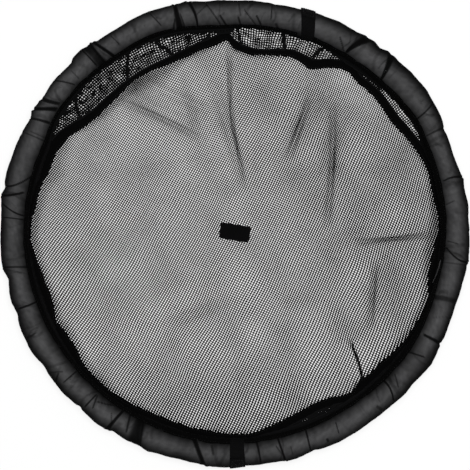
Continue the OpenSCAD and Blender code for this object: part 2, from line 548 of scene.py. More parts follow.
@dataclass(frozen=True)
class SewingThread:
    """Black bonded polyester sewing thread: a little glossier than the tape under it."""

    name: str = "bonded_polyester_thread"
    dye: str = "#0c0c0d"
    light: str = "#1a1a1b"

    def build(self) -> Material:
        """The material: a twist of 0.7 mm in colour."""
        material, tree, shader = start_material(self.name)
        skin = {
            "Base Color": between(tree, mottle(tree, 1400.0, 0.0), self.dye, self.light),
            "Roughness": 0.5,
            "Specular IOR Level": 0.25,
        }
        set_inputs(tree, shader, skin)
        return material


@dataclass
class Finishes:
    """Every material of the net, built once."""

    sleeve: Material
    hem: Material
    webbing: Material
    binding: Material
    label: Material
    net: Material
    foam: Material
    pipe: Material
    joiner: Material
    stitch: Material

    @classmethod
    def build(cls) -> "Finishes":
        """Builds the materials."""
        return cls(
            sleeve=SheerMesh().build(),
            hem=WovenTape("polyester_hem_tape", "#030303", "#080808", Weave.TWILL, 2.2).build(),
            webbing=WovenTape(
                "polyester_webbing", "#070707", "#171718", Weave.RIB, 2.0, depth=0.35
            ).build(),
            binding=WovenTape("polyester_binding", "#030303", "#0a0a0b", Weave.RIB, 1.6).build(),
            label=WovenTape("woven_label_cloth", "#060606", "#111112", Weave.PLAIN, 1.4).build(),
            net=NetThread().build(),
            foam=ClosedCellFoam().build(),
            pipe=ExtrudedPipe("polyethylene_pipe", "#1f2224", "#33373a").build(),
            joiner=ExtrudedPipe("polyethylene_spigot", "#5c6166", "#777c80").build(),
            stitch=SewingThread().build(),
        )


def dress(piece: Piece, material: Material, body: str) -> None:
    """Gives a piece its material and the body that it rides on."""
    piece.data.materials.clear()
    piece.data.materials.append(material)
    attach(piece, body)


# The ring's shape -------------------------------------------------------------------------------


@dataclass(frozen=True)
class Crease:
    """A line in the sleeve that crosses the tube, where the cloth is pinched or pleated.

    Places across the tube are shares of its width as seen from above: 0 at the outside, 1 inside.

    Fields:
        outer, inner: directions of its outer and inner end.
        start, stop: places of those ends across the tube.
        wide, narrow: half widths at those ends in mm.
        lift: height of the pinched cloth beside it in mm.
        dark: extra layer count: doubled cloth, and painted shade along the crease.
        bow: how far its middle bends counterclockwise, in degrees.
    """

    outer: float
    inner: float
    start: float = 0.05
    stop: float = 0.80
    wide: float = 1.0
    narrow: float = 1.0
    lift: float = 0.5
    dark: float = 1.2
    bow: float = 0.0


# Turn round the tube of its outside as seen from 1.9 m over the ring's middle
OUTSIDE_TURN = 11.0


def across_tube(turn: Array) -> Array:
    """Place across the tube as seen from above: (1 - cos x) / 2, negative under the outside."""
    x = np.radians(turn - OUTSIDE_TURN)
    return np.sign(x) * (1 - np.cos(x)) / 2


@dataclass
class RingShape:
    """The tube's line: a circle whose outside and inside are a little uneven.

    Fields:
        middle: radius of the tube's middle line.
        height: the middle line's height over the floor.
        swell: (direction, how far the outside stands out in mm).
        shift: (direction, how far the inside stands out in mm).
        hem_top: (direction, turn round the tube of the hem tape's upper edge).
    """

    middle: float = 377.0
    height: float = 24.15
    swell: Knots = (
        (0, 0.9), (6, 1.2), (11, 0), (12.6, 1.5), (13.4, -0.8), (16, -2.1), (20, -3.1), (24, -0.7),
        (25.8, -1.3), (27.4, 3.2), (30, 5), (36, 8.8), (42, 8), (46.5, 5), (48.4, 6.4), (51.6, 1.8),
        (54.5, 5), (56.5, 2), (65, 2.2), (70, 0.2), (76, -2), (80, -4.2), (81, -2.2), (84, -2.8),
        (92, -2.6), (98, -0.6), (101.4, 2.4), (102.2, 4.6), (104, 3.2), (113.5, 6), (118, 3),
        (126, 2.6), (126.9, 6), (131.5, 8), (133.4, 6.6), (134.3, 1.9), (136.5, 2.3), (139.5, 3.8),
        (145, 1.1), (150, 3), (151.2, -0.4), (157, 1.7), (166, 2.7), (168.3, 2.2), (169.5, -1),
        (171.2, 3.6), (175, 0.3), (180, -0.4), (187, 1.3), (190, -0.6), (192.2, -5.5), (196, -1.9),
        (198, -0.6), (201.2, -3.9), (203.4, -0.3), (209.5, 2.6), (213.5, 0.5), (215.7, -2.3),
        (219, 0.1), (224, 1.4), (227.8, -0.3), (228.8, -3.3), (229.8, 0.1), (234.5, 3),
        (237.4, 1.9), (238.9, -2.5), (243, 0.7), (246.4, -1.3), (248.6, 3.2), (252, -0.1),
        (258, -0.7), (261.7, -0.1), (262.6, 1.8), (267.8, 2.4), (269.2, 1.0), (272.2, -1.6),
        (273, -0.4), (277, -1.4), (281.8, -0.7), (282.8, 1.3), (285, 1.2), (290, -3.7),
        (291.4, -1.5), (296.5, 0.2), (302, -0.9), (310, -1.4), (316, 1.2), (319, -0.3),
        (325.5, 4.7), (330.4, 1.1), (331.2, -1.7), (332.4, 0.4), (341, -2.7), (347, -0.9),
        (351.5, 0.5), (352.1, 3.2), (356, 1.9), (360, 0.9),
    )
    shift: Knots = (
        (0, 0), (5, 0.8), (15, 0), (24, 2.6), (30, 8), (36, 5), (45, 0.5), (60, -1), (66, -0.4),
        (75, -1.8), (88, -2.4), (94, -3.6), (99, -1.5), (104, 3.6), (112, 7.8), (125, 6.6),
        (136, 8.8), (147, 8.8), (150, 7.6), (153, 2), (156, -0.5), (180, 0), (200, -1.2),
        (345, -1.2), (360, 0),
    )
    hem_top: Knots = (
        (0, 142), (20, 138), (30, 147), (38, 147), (45, 145), (70, 150), (90, 158), (100, 155),
        (112, 152), (125, 153), (135, 152), (146, 155), (151, 154), (156, 145), (180, 145),
        (205, 146), (225, 148), (240, 144), (255, 134), (270, 134), (290, 146), (303, 148),
        (315, 140), (328, 137), (345, 149), (360, 142),
    )

    def place(self, direction: Array, turn: Array, radius: Array) -> Array:
        """Points of a tube round the ring.

        The section is a circle of the given radius. Its outside stands out by the swell, fading
        with (1 + cos turn) / 2, and its inside by the shift, fading with (1 - cos turn) / 2.

        Args:
            direction: degrees round the ring.
            turn: degrees round the tube, from its outside (0) over its top (90).
            radius: mm from the tube's middle line.

        Returns:
            (..., 3) points in mm.
        """
        a, t = np.radians(direction), np.radians(turn)
        moved = around(direction, self.swell, 0.35) * (1 + np.cos(t)) / 2
        moved = moved + around(direction, self.shift, 2.0) * (1 - np.cos(t)) / 2
        out = self.middle + radius * np.cos(t) + moved
        up = self.height + radius * np.sin(t)
        return np.stack(np.broadcast_arrays(out * np.cos(a), out * np.sin(a), up), -1)

    def hem_edge(self, direction: Array) -> Array:
        """Turn round the tube of the hem tape's upper edge at each direction."""
        return around(direction, self.hem_top, 4.0)

    def seam(self, direction: Array, turn: Array, radius: float) -> tuple[Array, Array, Array]:
        """Spots along a seam on the tube, each with the way ahead and the way out of the tube."""
        spot = self.place(direction, turn, np.full_like(direction, radius))
        out = unit(spot - self.place(direction, turn, np.zeros_like(direction)))
        return spot, unit(np.gradient(spot, axis=0)), out


# Sub-assemblies ---------------------------------------------------------------------------------


@dataclass
class FoamRing:
    """Four lengths of pipe foam, butted end to end on the hoop pipe.

    Fields:
        shape: the ring's line.
        count: how many lengths there are.
        first_joint: direction where the first of them starts.
        radius, bore: of the foam's outside and of its hole in mm.
        butt_gap: gap between two lengths in mm.
        crushed: share by which the foam is thinner where two lengths press on each other.
        crush_reach: how far that reaches from the joint, in degrees.
        rows, cols: points along a length and round the tube.
    """

    shape: RingShape
    count: int = 4
    first_joint: float = 71.0
    radius: float = 21.5
    bore: float = 10.3
    butt_gap: float = 0.4
    crushed: float = 0.03
    crush_reach: float = 0.35
    rows: int = 120
    cols: int = 48

    def build(self, finishes: Finishes) -> list[Piece]:
        """Each length is a tube section: its outside follows the lumps, its bore the true circle."""
        made = []
        gap = np.degrees(self.butt_gap / 2 / self.shape.middle)
        span = 360.0 / self.count
        turn = np.linspace(0.0, 360.0, self.cols, endpoint=False)[None, :]
        for k in range(self.count):
            start = self.first_joint + k * span
            direction = np.linspace(start + gap, start + span - gap, self.rows)[:, None]
            soft = 1 - self.crushed * bell(direction - start, self.crush_reach)
            soft = soft - self.crushed * bell(direction - start - span, self.crush_reach)
            outer = self.shape.place(direction, turn, self.radius * soft)
            a, t = np.radians(direction), np.radians(turn)
            out = self.shape.middle + self.bore * np.cos(t)
            up = self.shape.height + self.bore * np.sin(t) + 0 * a
            inner = np.stack([out * np.cos(a), out * np.sin(a), up], -1)
            along = np.radians(direction[:, 0]) * self.shape.middle
            across = np.radians(np.linspace(0.0, 360.0, self.cols + 1)) * self.radius
            top = Patch(outer, along, across, closed_cols=True)
            piece = slab(f"foam_tube_{k + 1}", top, inner)
            dress(piece, finishes.foam, "ring")
            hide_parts(f"foam_length_{k + 1}")
            made.append(piece)
        return made


@dataclass
class Sleeve:
    """One strip of tulle sewn round the foam, pleated where it has spare length.

    Fields:
        shape: the ring's line.
        radius: the cloth's outside round the tube.
        seam: turn round the tube of the seam that closes the strip, under the hem tape.
        seam_gap: turn from that seam to the strip's edge on each side.
        rows, cols: points round the ring and round the tube.
        creases: what crosses the tube.
        spread: how far a crease's dark line reaches, in its half widths.
        faint: how many faint creases are added at random.
        outer_layers: (turn, layer count added): painted shade over the tube's outer side.
        inner: (degrees of turn below the hem's edge, layer count added) beside the hem: cloth
            gathered into the hem, with painted shade.
            flank_shade, gathered: (direction, how many times the outer shade or the inner gathers and
            shade lie there).
    """

    shape: RingShape
    radius: float = 22.5
    seam: float = 183.0
    seam_gap: float = 2.0
    rows: int = 1560
    cols: int = 62
    # each as outer, inner, start, stop, wide, narrow, lift, dark and bow
    creases: tuple[Crease, ...] = (
        # pleats and laps, several layers deep
        Crease(48.3, 45.8, 0.0, 0.84, 5.0, 1.5, 1.8, 2.8, -0.3),
        Crease(54.8, 57.8, 0.0, 0.80, 6.6, 1.6, 1.8, 2.8, 0.3),
        Crease(104.9, 105.1, 0.0, 0.95, 1.9, 4.6, 1.2, 2.6),
        Crease(104.1, 103.8, 0.45, 0.9, 0.8, 1.3, 0.3, 1.2),
        Crease(105.9, 107.0, 0.6, 0.95, 0.9, 1.8, 0.3, 1.2),
        Crease(127.1, 124.8, 0.0, 0.9, 2.2, 1.9, 1.2, 2.8),
        Crease(128.8, 128.5, 0.0, 0.95, 5.8, 6.4, 1.0, 1.6),
        Crease(128.0, 127.8, 0.0, 0.95, 1.5, 1.7, 0.6, 1.4),
        Crease(130.3, 130.0, 0.06, 0.8, 0.9, 1.1, 0.9, 1.6),
        Crease(145.8, 144.3, 0.0, 0.78, 2.8, 2.2, 1.0, 2.0, 0.3),
        Crease(149.0, 146.0, 0.03, 0.82, 2.4, 2.9, 1.5, 2.5),
        Crease(151.3, 150.0, 0.05, 0.85, 1.2, 1.8, 0.8, 1.8),
        Crease(244.7, 243.9, 0.06, 0.9, 8.8, 6.6, 0.8, 1.9),
        Crease(246.3, 244.7, 0.08, 0.85, 1.2, 1.1, 0.6, 0.9),
        Crease(262.5, 259.1, 0.02, 0.82, 3.1, 2.9, 1.2, 2.4),
        # single pinches
        Crease(7.4, 6.7, 0.5, 0.8, 0.9, 0.9, 0.3, 0.6),
        Crease(13.0, 13.1, 0.0, 0.68, 1.7, 0.8, 0.9, 1.7, 0.4),
        Crease(26.0, 26.1, 0.0, 0.8, 1.5, 1.0, 0.6, 0.8),
        Crease(32.6, 31.3, 0.04, 0.86, 0.9, 1.2, 0.5, 1.5, -0.25),
        Crease(61.2, 57.8, 0.5, 0.92, 1.2, 1.0, 0.4, 1.1),
        Crease(78.6, 77.6, 0.78, 0.97, 2.0, 2.5, 0.3, 1.0),
        Crease(80.5, 80.2, 0.1, 0.6, 0.8, 0.8, 0.5, 1.1),
        Crease(84.1, 82.7, 0.58, 0.88, 1.2, 1.3, 0.4, 1.6),
        Crease(87.4, 84.0, 0.4, 0.93, 0.8, 1.0, 0.4, 1.2),
        Crease(88.9, 88.4, 0.15, 0.6, 1.4, 1.0, 0.3, 0.5),
        Crease(89.0, 88.4, 0.66, 0.9, 1.3, 1.3, 0.3, 1.2),
        Crease(93.8, 92.3, 0.6, 0.94, 1.2, 1.4, 0.4, 1.6),
        Crease(97.1, 94.0, 0.16, 0.87, 0.8, 0.9, 0.4, 1.3),
        Crease(97.2, 99.9, 0.2, 0.5, 1.2, 1.2, 0.4, 0.7),
        Crease(101.5, 100.3, 0.02, 0.92, 2.2, 1.1, 0.9, 2.4, -0.5),
        Crease(111.3, 109.8, 0.16, 0.68, 0.8, 0.8, 0.4, 1.2),
        Crease(122.5, 121.9, 0.2, 0.62, 0.7, 0.7, 0.3, 1.0),
        Crease(135.8, 135.8, 0.3, 0.76, 0.9, 0.9, 0.2, 0.5),
        Crease(140.3, 137.8, 0.05, 0.78, 0.9, 1.0, 0.4, 1.5),
        Crease(154.3, 154.2, 0.3, 0.85, 0.9, 0.9, 0.2, 0.4),
        Crease(155.2, 155.0, 0.15, 0.85, 0.9, 1.2, 0.3, 0.6),
        Crease(169.2, 165.4, 0.08, 0.86, 1.0, 1.3, 0.8, 1.8, 0.9),
        Crease(171.6, 170.1, 0.04, 0.7, 1.5, 1.4, 0.8, 2.0, 0.3),
        Crease(173.6, 176.2, 0.06, 0.82, 1.2, 1.1, 0.7, 1.6, 0.5),
        Crease(177.0, 177.3, 0.14, 0.86, 0.8, 0.9, 0.4, 1.2),
        Crease(189.3, 190.2, 0.03, 0.86, 1.2, 1.7, 0.5, 1.0),
        Crease(200.2, 199.9, 0.18, 0.96, 1.3, 1.1, 0.7, 1.7, 0.2),
        Crease(207.7, 207.6, 0.08, 0.42, 1.4, 1.0, 0.3, 0.7),
        Crease(217.8, 219.6, 0.1, 0.44, 0.9, 0.8, 0.3, 0.8),
        Crease(220.6, 219.3, 0.0, 0.3, 1.6, 1.2, 0.4, 1.2),
        Crease(221.9, 221.9, 0.28, 0.84, 0.8, 0.9, 0.4, 1.3),
        Crease(229.9, 230.1, 0.18, 0.72, 1.1, 1.0, 0.5, 1.5),
        Crease(231.6, 230.5, 0.32, 0.72, 0.9, 0.9, 0.4, 1.3),
        Crease(231.4, 235.6, 0.56, 0.82, 1.7, 2.2, 0.4, 1.0),
        Crease(237.5, 238.4, 0.04, 0.8, 2.6, 1.6, 1.0, 2.2),
        Crease(237.7, 236.2, 0.25, 0.56, 0.8, 0.8, 0.3, 0.8),
        Crease(241.9, 240.7, 0.26, 0.82, 1.2, 1.3, 0.4, 1.2),
        Crease(264.6, 264.0, 0.4, 0.68, 1.6, 1.8, 0.3, 0.9),
        Crease(276.4, 275.9, 0.08, 0.8, 1.1, 1.2, 0.6, 1.6, 0.1),
        Crease(281.8, 280.8, 0.26, 0.56, 0.8, 0.8, 0.3, 0.9),
        Crease(282.4, 281.7, 0.03, 0.8, 1.4, 1.2, 0.8, 1.9),
        Crease(284.5, 284.5, 0.18, 0.45, 0.8, 0.8, 0.2, 0.5),
        Crease(289.0, 289.5, 0.08, 0.8, 1.0, 1.2, 0.6, 1.6),
        Crease(293.8, 293.8, 0.14, 0.27, 1.6, 1.6, 0.3, 1.2),
        Crease(297.1, 297.6, 0.28, 0.64, 0.8, 0.9, 0.3, 1.0),
        Crease(309.2, 308.8, 0.1, 0.3, 2.5, 2.0, 0.3, 0.7),
        Crease(313.0, 314.6, 0.12, 0.84, 1.1, 1.4, 0.8, 1.9, 0.5),
        Crease(316.1, 317.8, 0.34, 0.68, 1.1, 1.1, 0.3, 0.9),
        Crease(326.0, 324.9, 0.32, 0.8, 1.0, 1.1, 0.4, 1.4),
        Crease(331.0, 330.9, 0.0, 0.64, 2.1, 1.5, 1.0, 2.1),
        Crease(342.0, 341.4, 0.1, 0.9, 3.2, 3.4, 0.4, 0.8),
        Crease(351.2, 351.1, 0.1, 0.8, 1.0, 1.0, 0.2, 0.4),
        Crease(352.1, 355.0, 0.0, 0.78, 1.3, 1.0, 0.9, 1.9, -1.1),
        Crease(356.3, 356.9, 0.42, 0.77, 0.9, 0.9, 0.3, 0.7),
    )
    spread: float = 1.25
    faint: int = 150
    # painted shade: layer count added on the tube's outer side, darkest at its outside
    outer_layers: Knots = (
        (-60, 1.2), (0, 2.3), (25, 2.1), (38, 1.8), (50, 1.15), (59, 0.76), (68, 0.5), (75, 0.29),
        (82, 0.17), (90, 0.07), (98, 0.0),
    )
    # gathered cloth with painted shade beside the hem
    inner_layers: Knots = (
        (-40, 2.2), (-24, 2.1), (-12, 1.8), (-3, 1.5), (5, 1.08), (12, 0.76), (19, 0.54),
        (26, 0.38), (33, 0.25), (41, 0.14), (50, 0.06), (60, 0.0),
    )
    # how strongly the painted shade on the outer side shows, by direction
    flank_shade: Knots = (
        (0, 1.1), (20, 1.1), (32, 1.5), (55, 1.5), (75, 1.1), (90, 1.4), (105, 1), (125, 1),
        (132, 1.2), (140, 0.8), (160, 0.9), (180, 1.2), (225, 1.1), (255, 0.9), (300, 0.8),
        (325, 1.2), (345, 1.1), (360, 1.1),
    )
    # how strongly the gathers and painted shade beside the hem show, by direction
    gathered: Knots = (
        (0, 0.85), (30, 0.8), (60, 0.75), (90, 0.7), (120, 0.7), (145, 0.75), (165, 1), (190, 1.2),
        (205, 1.35), (225, 1.6), (250, 1.4), (262, 1.2), (275, 1.1), (290, 1.3), (315, 1.2),
        (335, 1), (360, 0.85),
    )

    def all_creases(self) -> tuple[Crease, ...]:
        """The creases of the table, and faint ones at random directions."""
        rng = np.random.default_rng(11)
        # direction, lean, start, stop, half width, lift, dark and bow
        low = (0, -1.8, 0.0, 0.45, 0.8, 0.10, 0.06, -0.7)
        high = (360, 1.8, 0.5, 0.95, 2.8, 0.4, 0.42, 0.7)
        drawn = rng.uniform(low, high, (self.faint, 8)).tolist()
        return self.creases + tuple(
            Crease(at, at + lean, start, stop, width, width, lift, dark, bow)
            for at, lean, start, stop, width, lift, dark, bow in drawn
        )

    def stations(self) -> Array:
        """Directions of the rows of points: equal shares of a density that is higher at creases."""
        fine = np.linspace(0.0, 360.0, 20001)
        density = np.ones_like(fine)
        for crease in self.creases:
            half = abs(crease.outer - crease.inner) / 2
            away = np.abs(turn_gap(fine, (crease.outer + crease.inner) / 2)) - half
            density += 1.5 * bell(np.maximum(away, 0.0), 0.5)
        density = np.minimum(density, 2.6)
        share = np.concatenate([[0], np.cumsum((density[1:] + density[:-1]) / 2)])
        return np.interp(np.arange(self.rows) / self.rows * share[-1], share, fine)

    def relief(self, direction: Array, turn: Array) -> tuple[Array, Array]:
        """Height over the smooth tube and number of layers at each place.

        At d mm off a crease of half width w, the cloth stands lift * (bell(d - 1.8 w) + 0.6
        bell(d + 1.8 w)) high, sinks by half the lift on the line, and the layer count rises by
        dark * e to the power of minus (d / (w * spread)) to the fourth: doubled cloth with painted
        shade. Both fade out past its ends.

        Args:
            direction: (rows, 1) degrees round the ring.
            turn: (1, cols) degrees round the tube.

        Returns:
            Height in mm and layers, both (rows, cols).
        """
        place = across_tube(turn)
        reach = self.shape.middle + self.radius * np.cos(np.radians(turn))
        height = np.zeros((direction.shape[0], turn.shape[1]))
        layers = np.ones_like(height)
        for crease in self.all_creases():
            gap = np.abs(turn_gap(direction[:, 0], (crease.outer + crease.inner) / 2))
            near = gap < 5.0 + abs(crease.outer - crease.inner)
            t = (place - crease.start) / (crease.stop - crease.start)
            inside = np.clip(t, 0.0, 1.0)
            line = crease.outer + (crease.inner - crease.outer) * inside
            line = line + crease.bow * 4 * inside * (1 - inside)
            off = np.radians(turn_gap(direction[near], line)) * reach
            width = crease.wide + (crease.narrow - crease.wide) * inside
            shown = ease(t, -0.16, 0.04) * (1 - ease(t, 0.96, 1.12))
            # a crease that starts at the tube's outside also runs down under it
            if crease.start <= 0.05:
                shown = np.where(t < 0.5, ease(place, -0.75, -0.45), shown)
            side = bell(off - 1.8 * width, width) + 0.6 * bell(off + 1.8 * width, width)
            height[near] += crease.lift * shown * (side - 0.5 * bell(off, width * 0.6))
            # painted shade along the crease, on top of its doubled cloth
            layers[near] += crease.dark * shown * np.exp(-((off / width / self.spread) ** 4))
        return height, layers

    def build(self, finishes: Finishes) -> Piece:
        """The open strip: its two long edges lie side by side under the hem tape."""
        direction = self.stations()[:, None]
        ends = (self.seam - 360.0 + self.seam_gap, self.seam - self.seam_gap)
        turn = np.linspace(*ends, self.cols)[None, :]
        height, layers = self.relief(direction, turn)
        arc = np.radians(direction) * self.shape.middle
        girth = np.radians(turn) * self.radius
        height += 0.55 * wander(arc, girth, 42.0, 3) + 0.18 * wander(arc, girth, 12.0, 4)
        # the cloth is gathered into the hem on the inside, with painted shade beside the hem, and
        # the tube's outer side is darkened with painted shade
        below = self.shape.hem_edge(direction) - turn
        ripple = 0.5 + 0.5 * np.sin(arc / 3.1 + 2.0 * wander(arc, girth * 0.2, 60.0, 6))
        height += (1 - ease(below, -4.0, 22.0)) * 0.30 * ripple
        # gathers and painted shade beside the hem
        inner = np.interp(below, *np.array(self.inner_layers).T)
        # painted shade on the tube's outer side
        outer = np.interp(turn, *np.array(self.outer_layers).T)
        # how strongly the painted shade on the outer side shows here
        slack = around(direction, self.flank_shade, 4.0) * (1 + 0.18 * wander(arc, girth * 0.3, 75.0, 7))
        inner = inner * around(direction, self.gathered, 4.0)
        layers += inner * (0.88 + 0.24 * ripple) + outer * np.clip(slack, 0.6, 2.0)
        layers += 0.12 * np.abs(wander(arc, girth, 26.0, 8)) + 0.08 * wander(arc, girth, 9.0, 9)
        points = self.shape.place(direction, turn, self.radius + height)
        along = np.append(arc[:, 0], arc[0, 0] + 2 * np.pi * self.shape.middle)
        patch = Patch(points, along, girth[0], closed_rows=True)
        quads, cloth = patch.faces()
        piece = make_piece("sleeve_strip", points.reshape(-1, 3), quads, cloth, {"layers": layers})
        dress(piece, finishes.sleeve, "ring")
        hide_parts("sleeve")
        return piece


@dataclass
class LooseEnd:
    """A narrow end of the sleeve's strip that has slipped out over the hem tape.

    Fields:
        shape: the ring's line.
        start, sweep: direction where it comes out, and how far it runs back clockwise.
        turn, slide: turn round the tube where it comes out, and how much further down it ends.
        half_turn: half its width as a turn round the tube, where it is widest.
        radius, rise: its underside round the tube, and how far its tip stands off, in mm.
        thickness: of the folded cloth in mm.
        length, half_width: of the cloth in mm, for its weave.
    """

    shape: RingShape
    start: float = 351.7
    sweep: float = 6.6
    turn: float = 157.0
    slide: float = 19.0
    half_turn: float = 3.2
    radius: float = 24.6
    rise: float = 2.4
    thickness: float = 0.4
    length: float = 43.0
    half_width: float = 1.4

    def build(self, finishes: Finishes) -> Piece:
        """A slab that narrows to both ends, bends down and lifts at its tip."""
        t = np.linspace(0.0, 1.0, 28)[:, None]
        v = np.linspace(-1.0, 1.0, 5)[None, :]
        direction = self.start - self.sweep * t + 0 * v
        wide = self.half_turn * np.sin(np.pi * (0.08 + 0.9 * t)) ** 0.7
        turn = self.turn + self.slide * ease(t, -0.2, 1.2) + wide * v
        radius = self.radius + self.rise * ease(t, 0.4, 1.1) + 0.2 * np.sin(t * 16)
        top = self.shape.place(direction, turn, radius + self.thickness)
        bottom = self.shape.place(direction, turn, radius + 0 * v)
        patch = Patch(top, t[:, 0] * self.length, v[0] * self.half_width)
        layers = {"layers": np.full(top.shape[:2], 1.0)}
        piece = slab("sleeve_loose_end", patch, bottom, layers)
        dress(piece, finishes.sleeve, "ring")
        return piece


def stitches(
    name: str, spots: Array, ahead: Array, up: Array, length: float, width: float
) -> Piece:
    """Sewn stitches, each a small closed spindle of eight faces.

    A stitch has a point at each end and four points round its middle: side, up, -side and a flat
    underside.

    Args:
        name: the piece's name.
        spots: (n, 3) middles in mm.
        ahead, up: (n, 3) direction of the seam and of the cloth's outside.
        length, width: of a stitch in mm.

    Returns:
        The object.
    """
    side = unit(np.cross(ahead, up))
    ring = [side * width / 2, up * width * 0.45, -side * width / 2, -up * width * 0.2]
    ends = [-ahead * length / 2, ahead * length / 2]
    points = spots[:, None, :] + np.stack([ends[0], *ring, ends[1]], 1)
    k = np.arange(4)
    start_fan = np.stack([np.zeros(4, int), 1 + (k + 1) % 4, 1 + k], -1)
    stop_fan = np.stack([np.full(4, 5), 1 + k, 1 + (k + 1) % 4], -1)
    fans = np.concatenate([start_fan, stop_fan])
    faces = (np.arange(len(spots))[:, None, None] * 6 + fans[None]).reshape(-1, 3)
    return make_piece(name, points.reshape(-1, 3), faces)


@dataclass
class HemTape:
    """Black tape over the sleeve's seam, on the inside of the tube, in two runs between the bands.

    Fields:
        shape: the ring's line.
        width: of the tape in mm, laid round the tube.
        seat: radius of its underside round the tube in mm.
        thickness: of the tape in mm.
        bands: directions of the two webbing bands.
        band_half: how far from a band's middle a run ends, in mm.
        row_step, cols: degrees between two rows of points, and points across the tape.
        stitch_step: degrees from stitch to stitch.
        stitch_rows: where the rows of stitches run, from -1 to 1 across the tape.
    """

    shape: RingShape
    width: float = 30.0
    seat: float = 22.8
    thickness: float = 0.8
    bands: tuple[float, float] = (70.3, 270.7)
    band_half: float = 13.2
    row_step: float = 0.45
    cols: int = 15
    stitch_step: float = 0.72
    stitch_rows: tuple[float, float] = (-0.84, 0.84)

    def build(self, finishes: Finishes) -> list[Piece]:
        """Both runs as one closed slab each, wavy at the edges, with two rows of stitches."""
        made, seams = [], []
        stop = np.degrees(self.band_half / self.shape.middle)
        half = np.degrees(self.width / 2 / self.seat)
        v = np.linspace(-1.0, 1.0, self.cols)[None, :]
        ends = (self.bands[1], self.bands[0] + 360.0)
        for k, (start, end) in enumerate(zip(self.bands, ends)):
            count = int((end - start - 2 * stop) / self.row_step)
            direction = np.linspace(start + stop, end - stop, count)[:, None]
            arc = np.radians(direction) * self.shape.middle
            sway = 1.6 * wander(arc, 0 * arc, 75.0, 21) + 1.2 * wander(arc, 0 * arc, 19.0, 22)
            middle = self.shape.hem_edge(direction) + half + sway
            turn = middle + half * v * (1 + 0.03 * wander(arc, 0 * arc, 33.0, 23))
            pucker = 0.25 * np.sin(arc / 2.6 + 2.5 * wander(arc, 0 * arc, 50.0, 24)) * v**2
            rise = self.thickness * (1 - 0.5 * v**8) + pucker + 0.25
            top = self.shape.place(direction, turn, self.seat + rise)
            bottom = self.shape.place(direction, turn, self.seat + 0 * rise)
            patch = Patch(top, arc[:, 0], v[0] * self.width / 2)
            piece = slab(f"hem_tape_{k + 1}", patch, bottom)
            made.append(piece)
            dress(piece, finishes.hem, "ring")
            at = np.arange(start + stop + 0.4, end - stop - 0.4, self.stitch_step)
            for row in self.stitch_rows:
                across = np.interp(at, direction[:, 0], middle[:, 0]) + row * half
                seams.append(self.shape.seam(at, across, self.seat + 0.9))
        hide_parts("sleeve_hem")
        sewn = stitches("hem_stitches", *map(np.concatenate, zip(*seams)), length=3.2, width=0.6)
        dress(sewn, finishes.stitch, "ring")
        return [*made, sewn]


@dataclass
class WebbingBand:
    """A band of 25 mm webbing sewn tight round the tube, its ends lapped on the upper outside.

    Fields:
        shape: the ring's line.
        label: last letter of its pieces' names.
        direction: of its middle.
        lean: how far it runs round the ring from its outside to its inside, in degrees.
        width, thickness: of the webbing in mm.
        seat: radius of its underside round the tube in mm.
        lap: length of the overlap in mm.
        lap_middle: turn round the tube of the overlap's middle.
        stitch_step: mm from stitch to stitch.
    """

    shape: RingShape
    label: str
    direction: float
    lean: float = 0.0
    width: float = 24.6
    seat: float = 22.9
    thickness: float = 1.0
    lap: float = 30.0
    lap_middle: float = 40.0
    stitch_step: float = 3.2

    def build(self, finishes: Finishes) -> list[Piece]:
        """A strip that starts under the lap, goes once round and ends on top of itself.

        Its turn runs past 360 degrees by the lap, and the radius rises by the thickness there.
        """
        lap_turn = np.degrees(self.lap / (self.seat + self.thickness))
        start = self.lap_middle - lap_turn / 2
        turn = np.linspace(start, start + 360.0 + lap_turn, 180)[:, None]
        along = np.radians(turn) * self.seat
        v = np.linspace(-1.0, 1.0, 13)[None, :]
        half = np.degrees(self.width / 2 / self.shape.middle)
        sway = 0.05 * np.sin(np.radians(turn * 2 + 40))
        step = ease(turn, start + 352.0, start + 366.0) * (self.thickness + 0.15)
        rise = self.thickness * (1 - 0.35 * v**10) + 0.10 * np.cos(v * 9) + step
        place = self.direction + self.lean * (across_tube(turn) - 0.5) + sway + half * v
        top = self.shape.place(place, turn, self.seat + rise)
        bottom = self.shape.place(place, turn, self.seat + step + 0 * rise)
        patch = Patch(top, along[:, 0], v[0] * self.width / 2)
        band = slab(f"webbing_band_{self.label}", patch, bottom)
        # the grid runs round the tube first, so its quads face inwards until they are turned over
        band.data.flip_normals()
        dress(band, finishes.webbing, "ring")
        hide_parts(f"webbing_{self.label}")
        return [band, self.box_stitch(finishes, lap_turn)]

    def box_stitch(self, finishes: Finishes, lap_turn: float) -> Piece:
        """A sewn box with a cross over the lap, as stitches along six straight lines."""
        u0, u1 = -0.36 * lap_turn, 0.36 * lap_turn
        w = 0.72 * self.width / 2
        corners = [(u0, -w), (u1, -w), (u1, w), (u0, w), (u0, -w), (u1, w)]
        lines = list(zip(corners[:-1], corners[1:])) + [((u0, w), (u1, -w))]
        seams = []
        radius = self.seat + 2 * self.thickness + 0.2
        for (ua, va), (ub, vb) in lines:
            length = np.hypot(np.radians(ub - ua) * radius, vb - va)
            count = int(length / self.stitch_step)
            s = (np.arange(count) + 0.5) / count
            turn = self.lap_middle + ua + (ub - ua) * s
            at = self.direction + np.degrees((va + (vb - va) * s) / self.shape.middle)
            at = at + self.lean * (across_tube(turn) - 0.5)
            seams.append(self.shape.seam(at, turn, radius))
        name = f"webbing_stitches_{self.label}"
        sewn = stitches(name, *map(np.concatenate, zip(*seams)), length=2.6, width=0.7)
        dress(sewn, finishes.stitch, "ring")
        return sewn


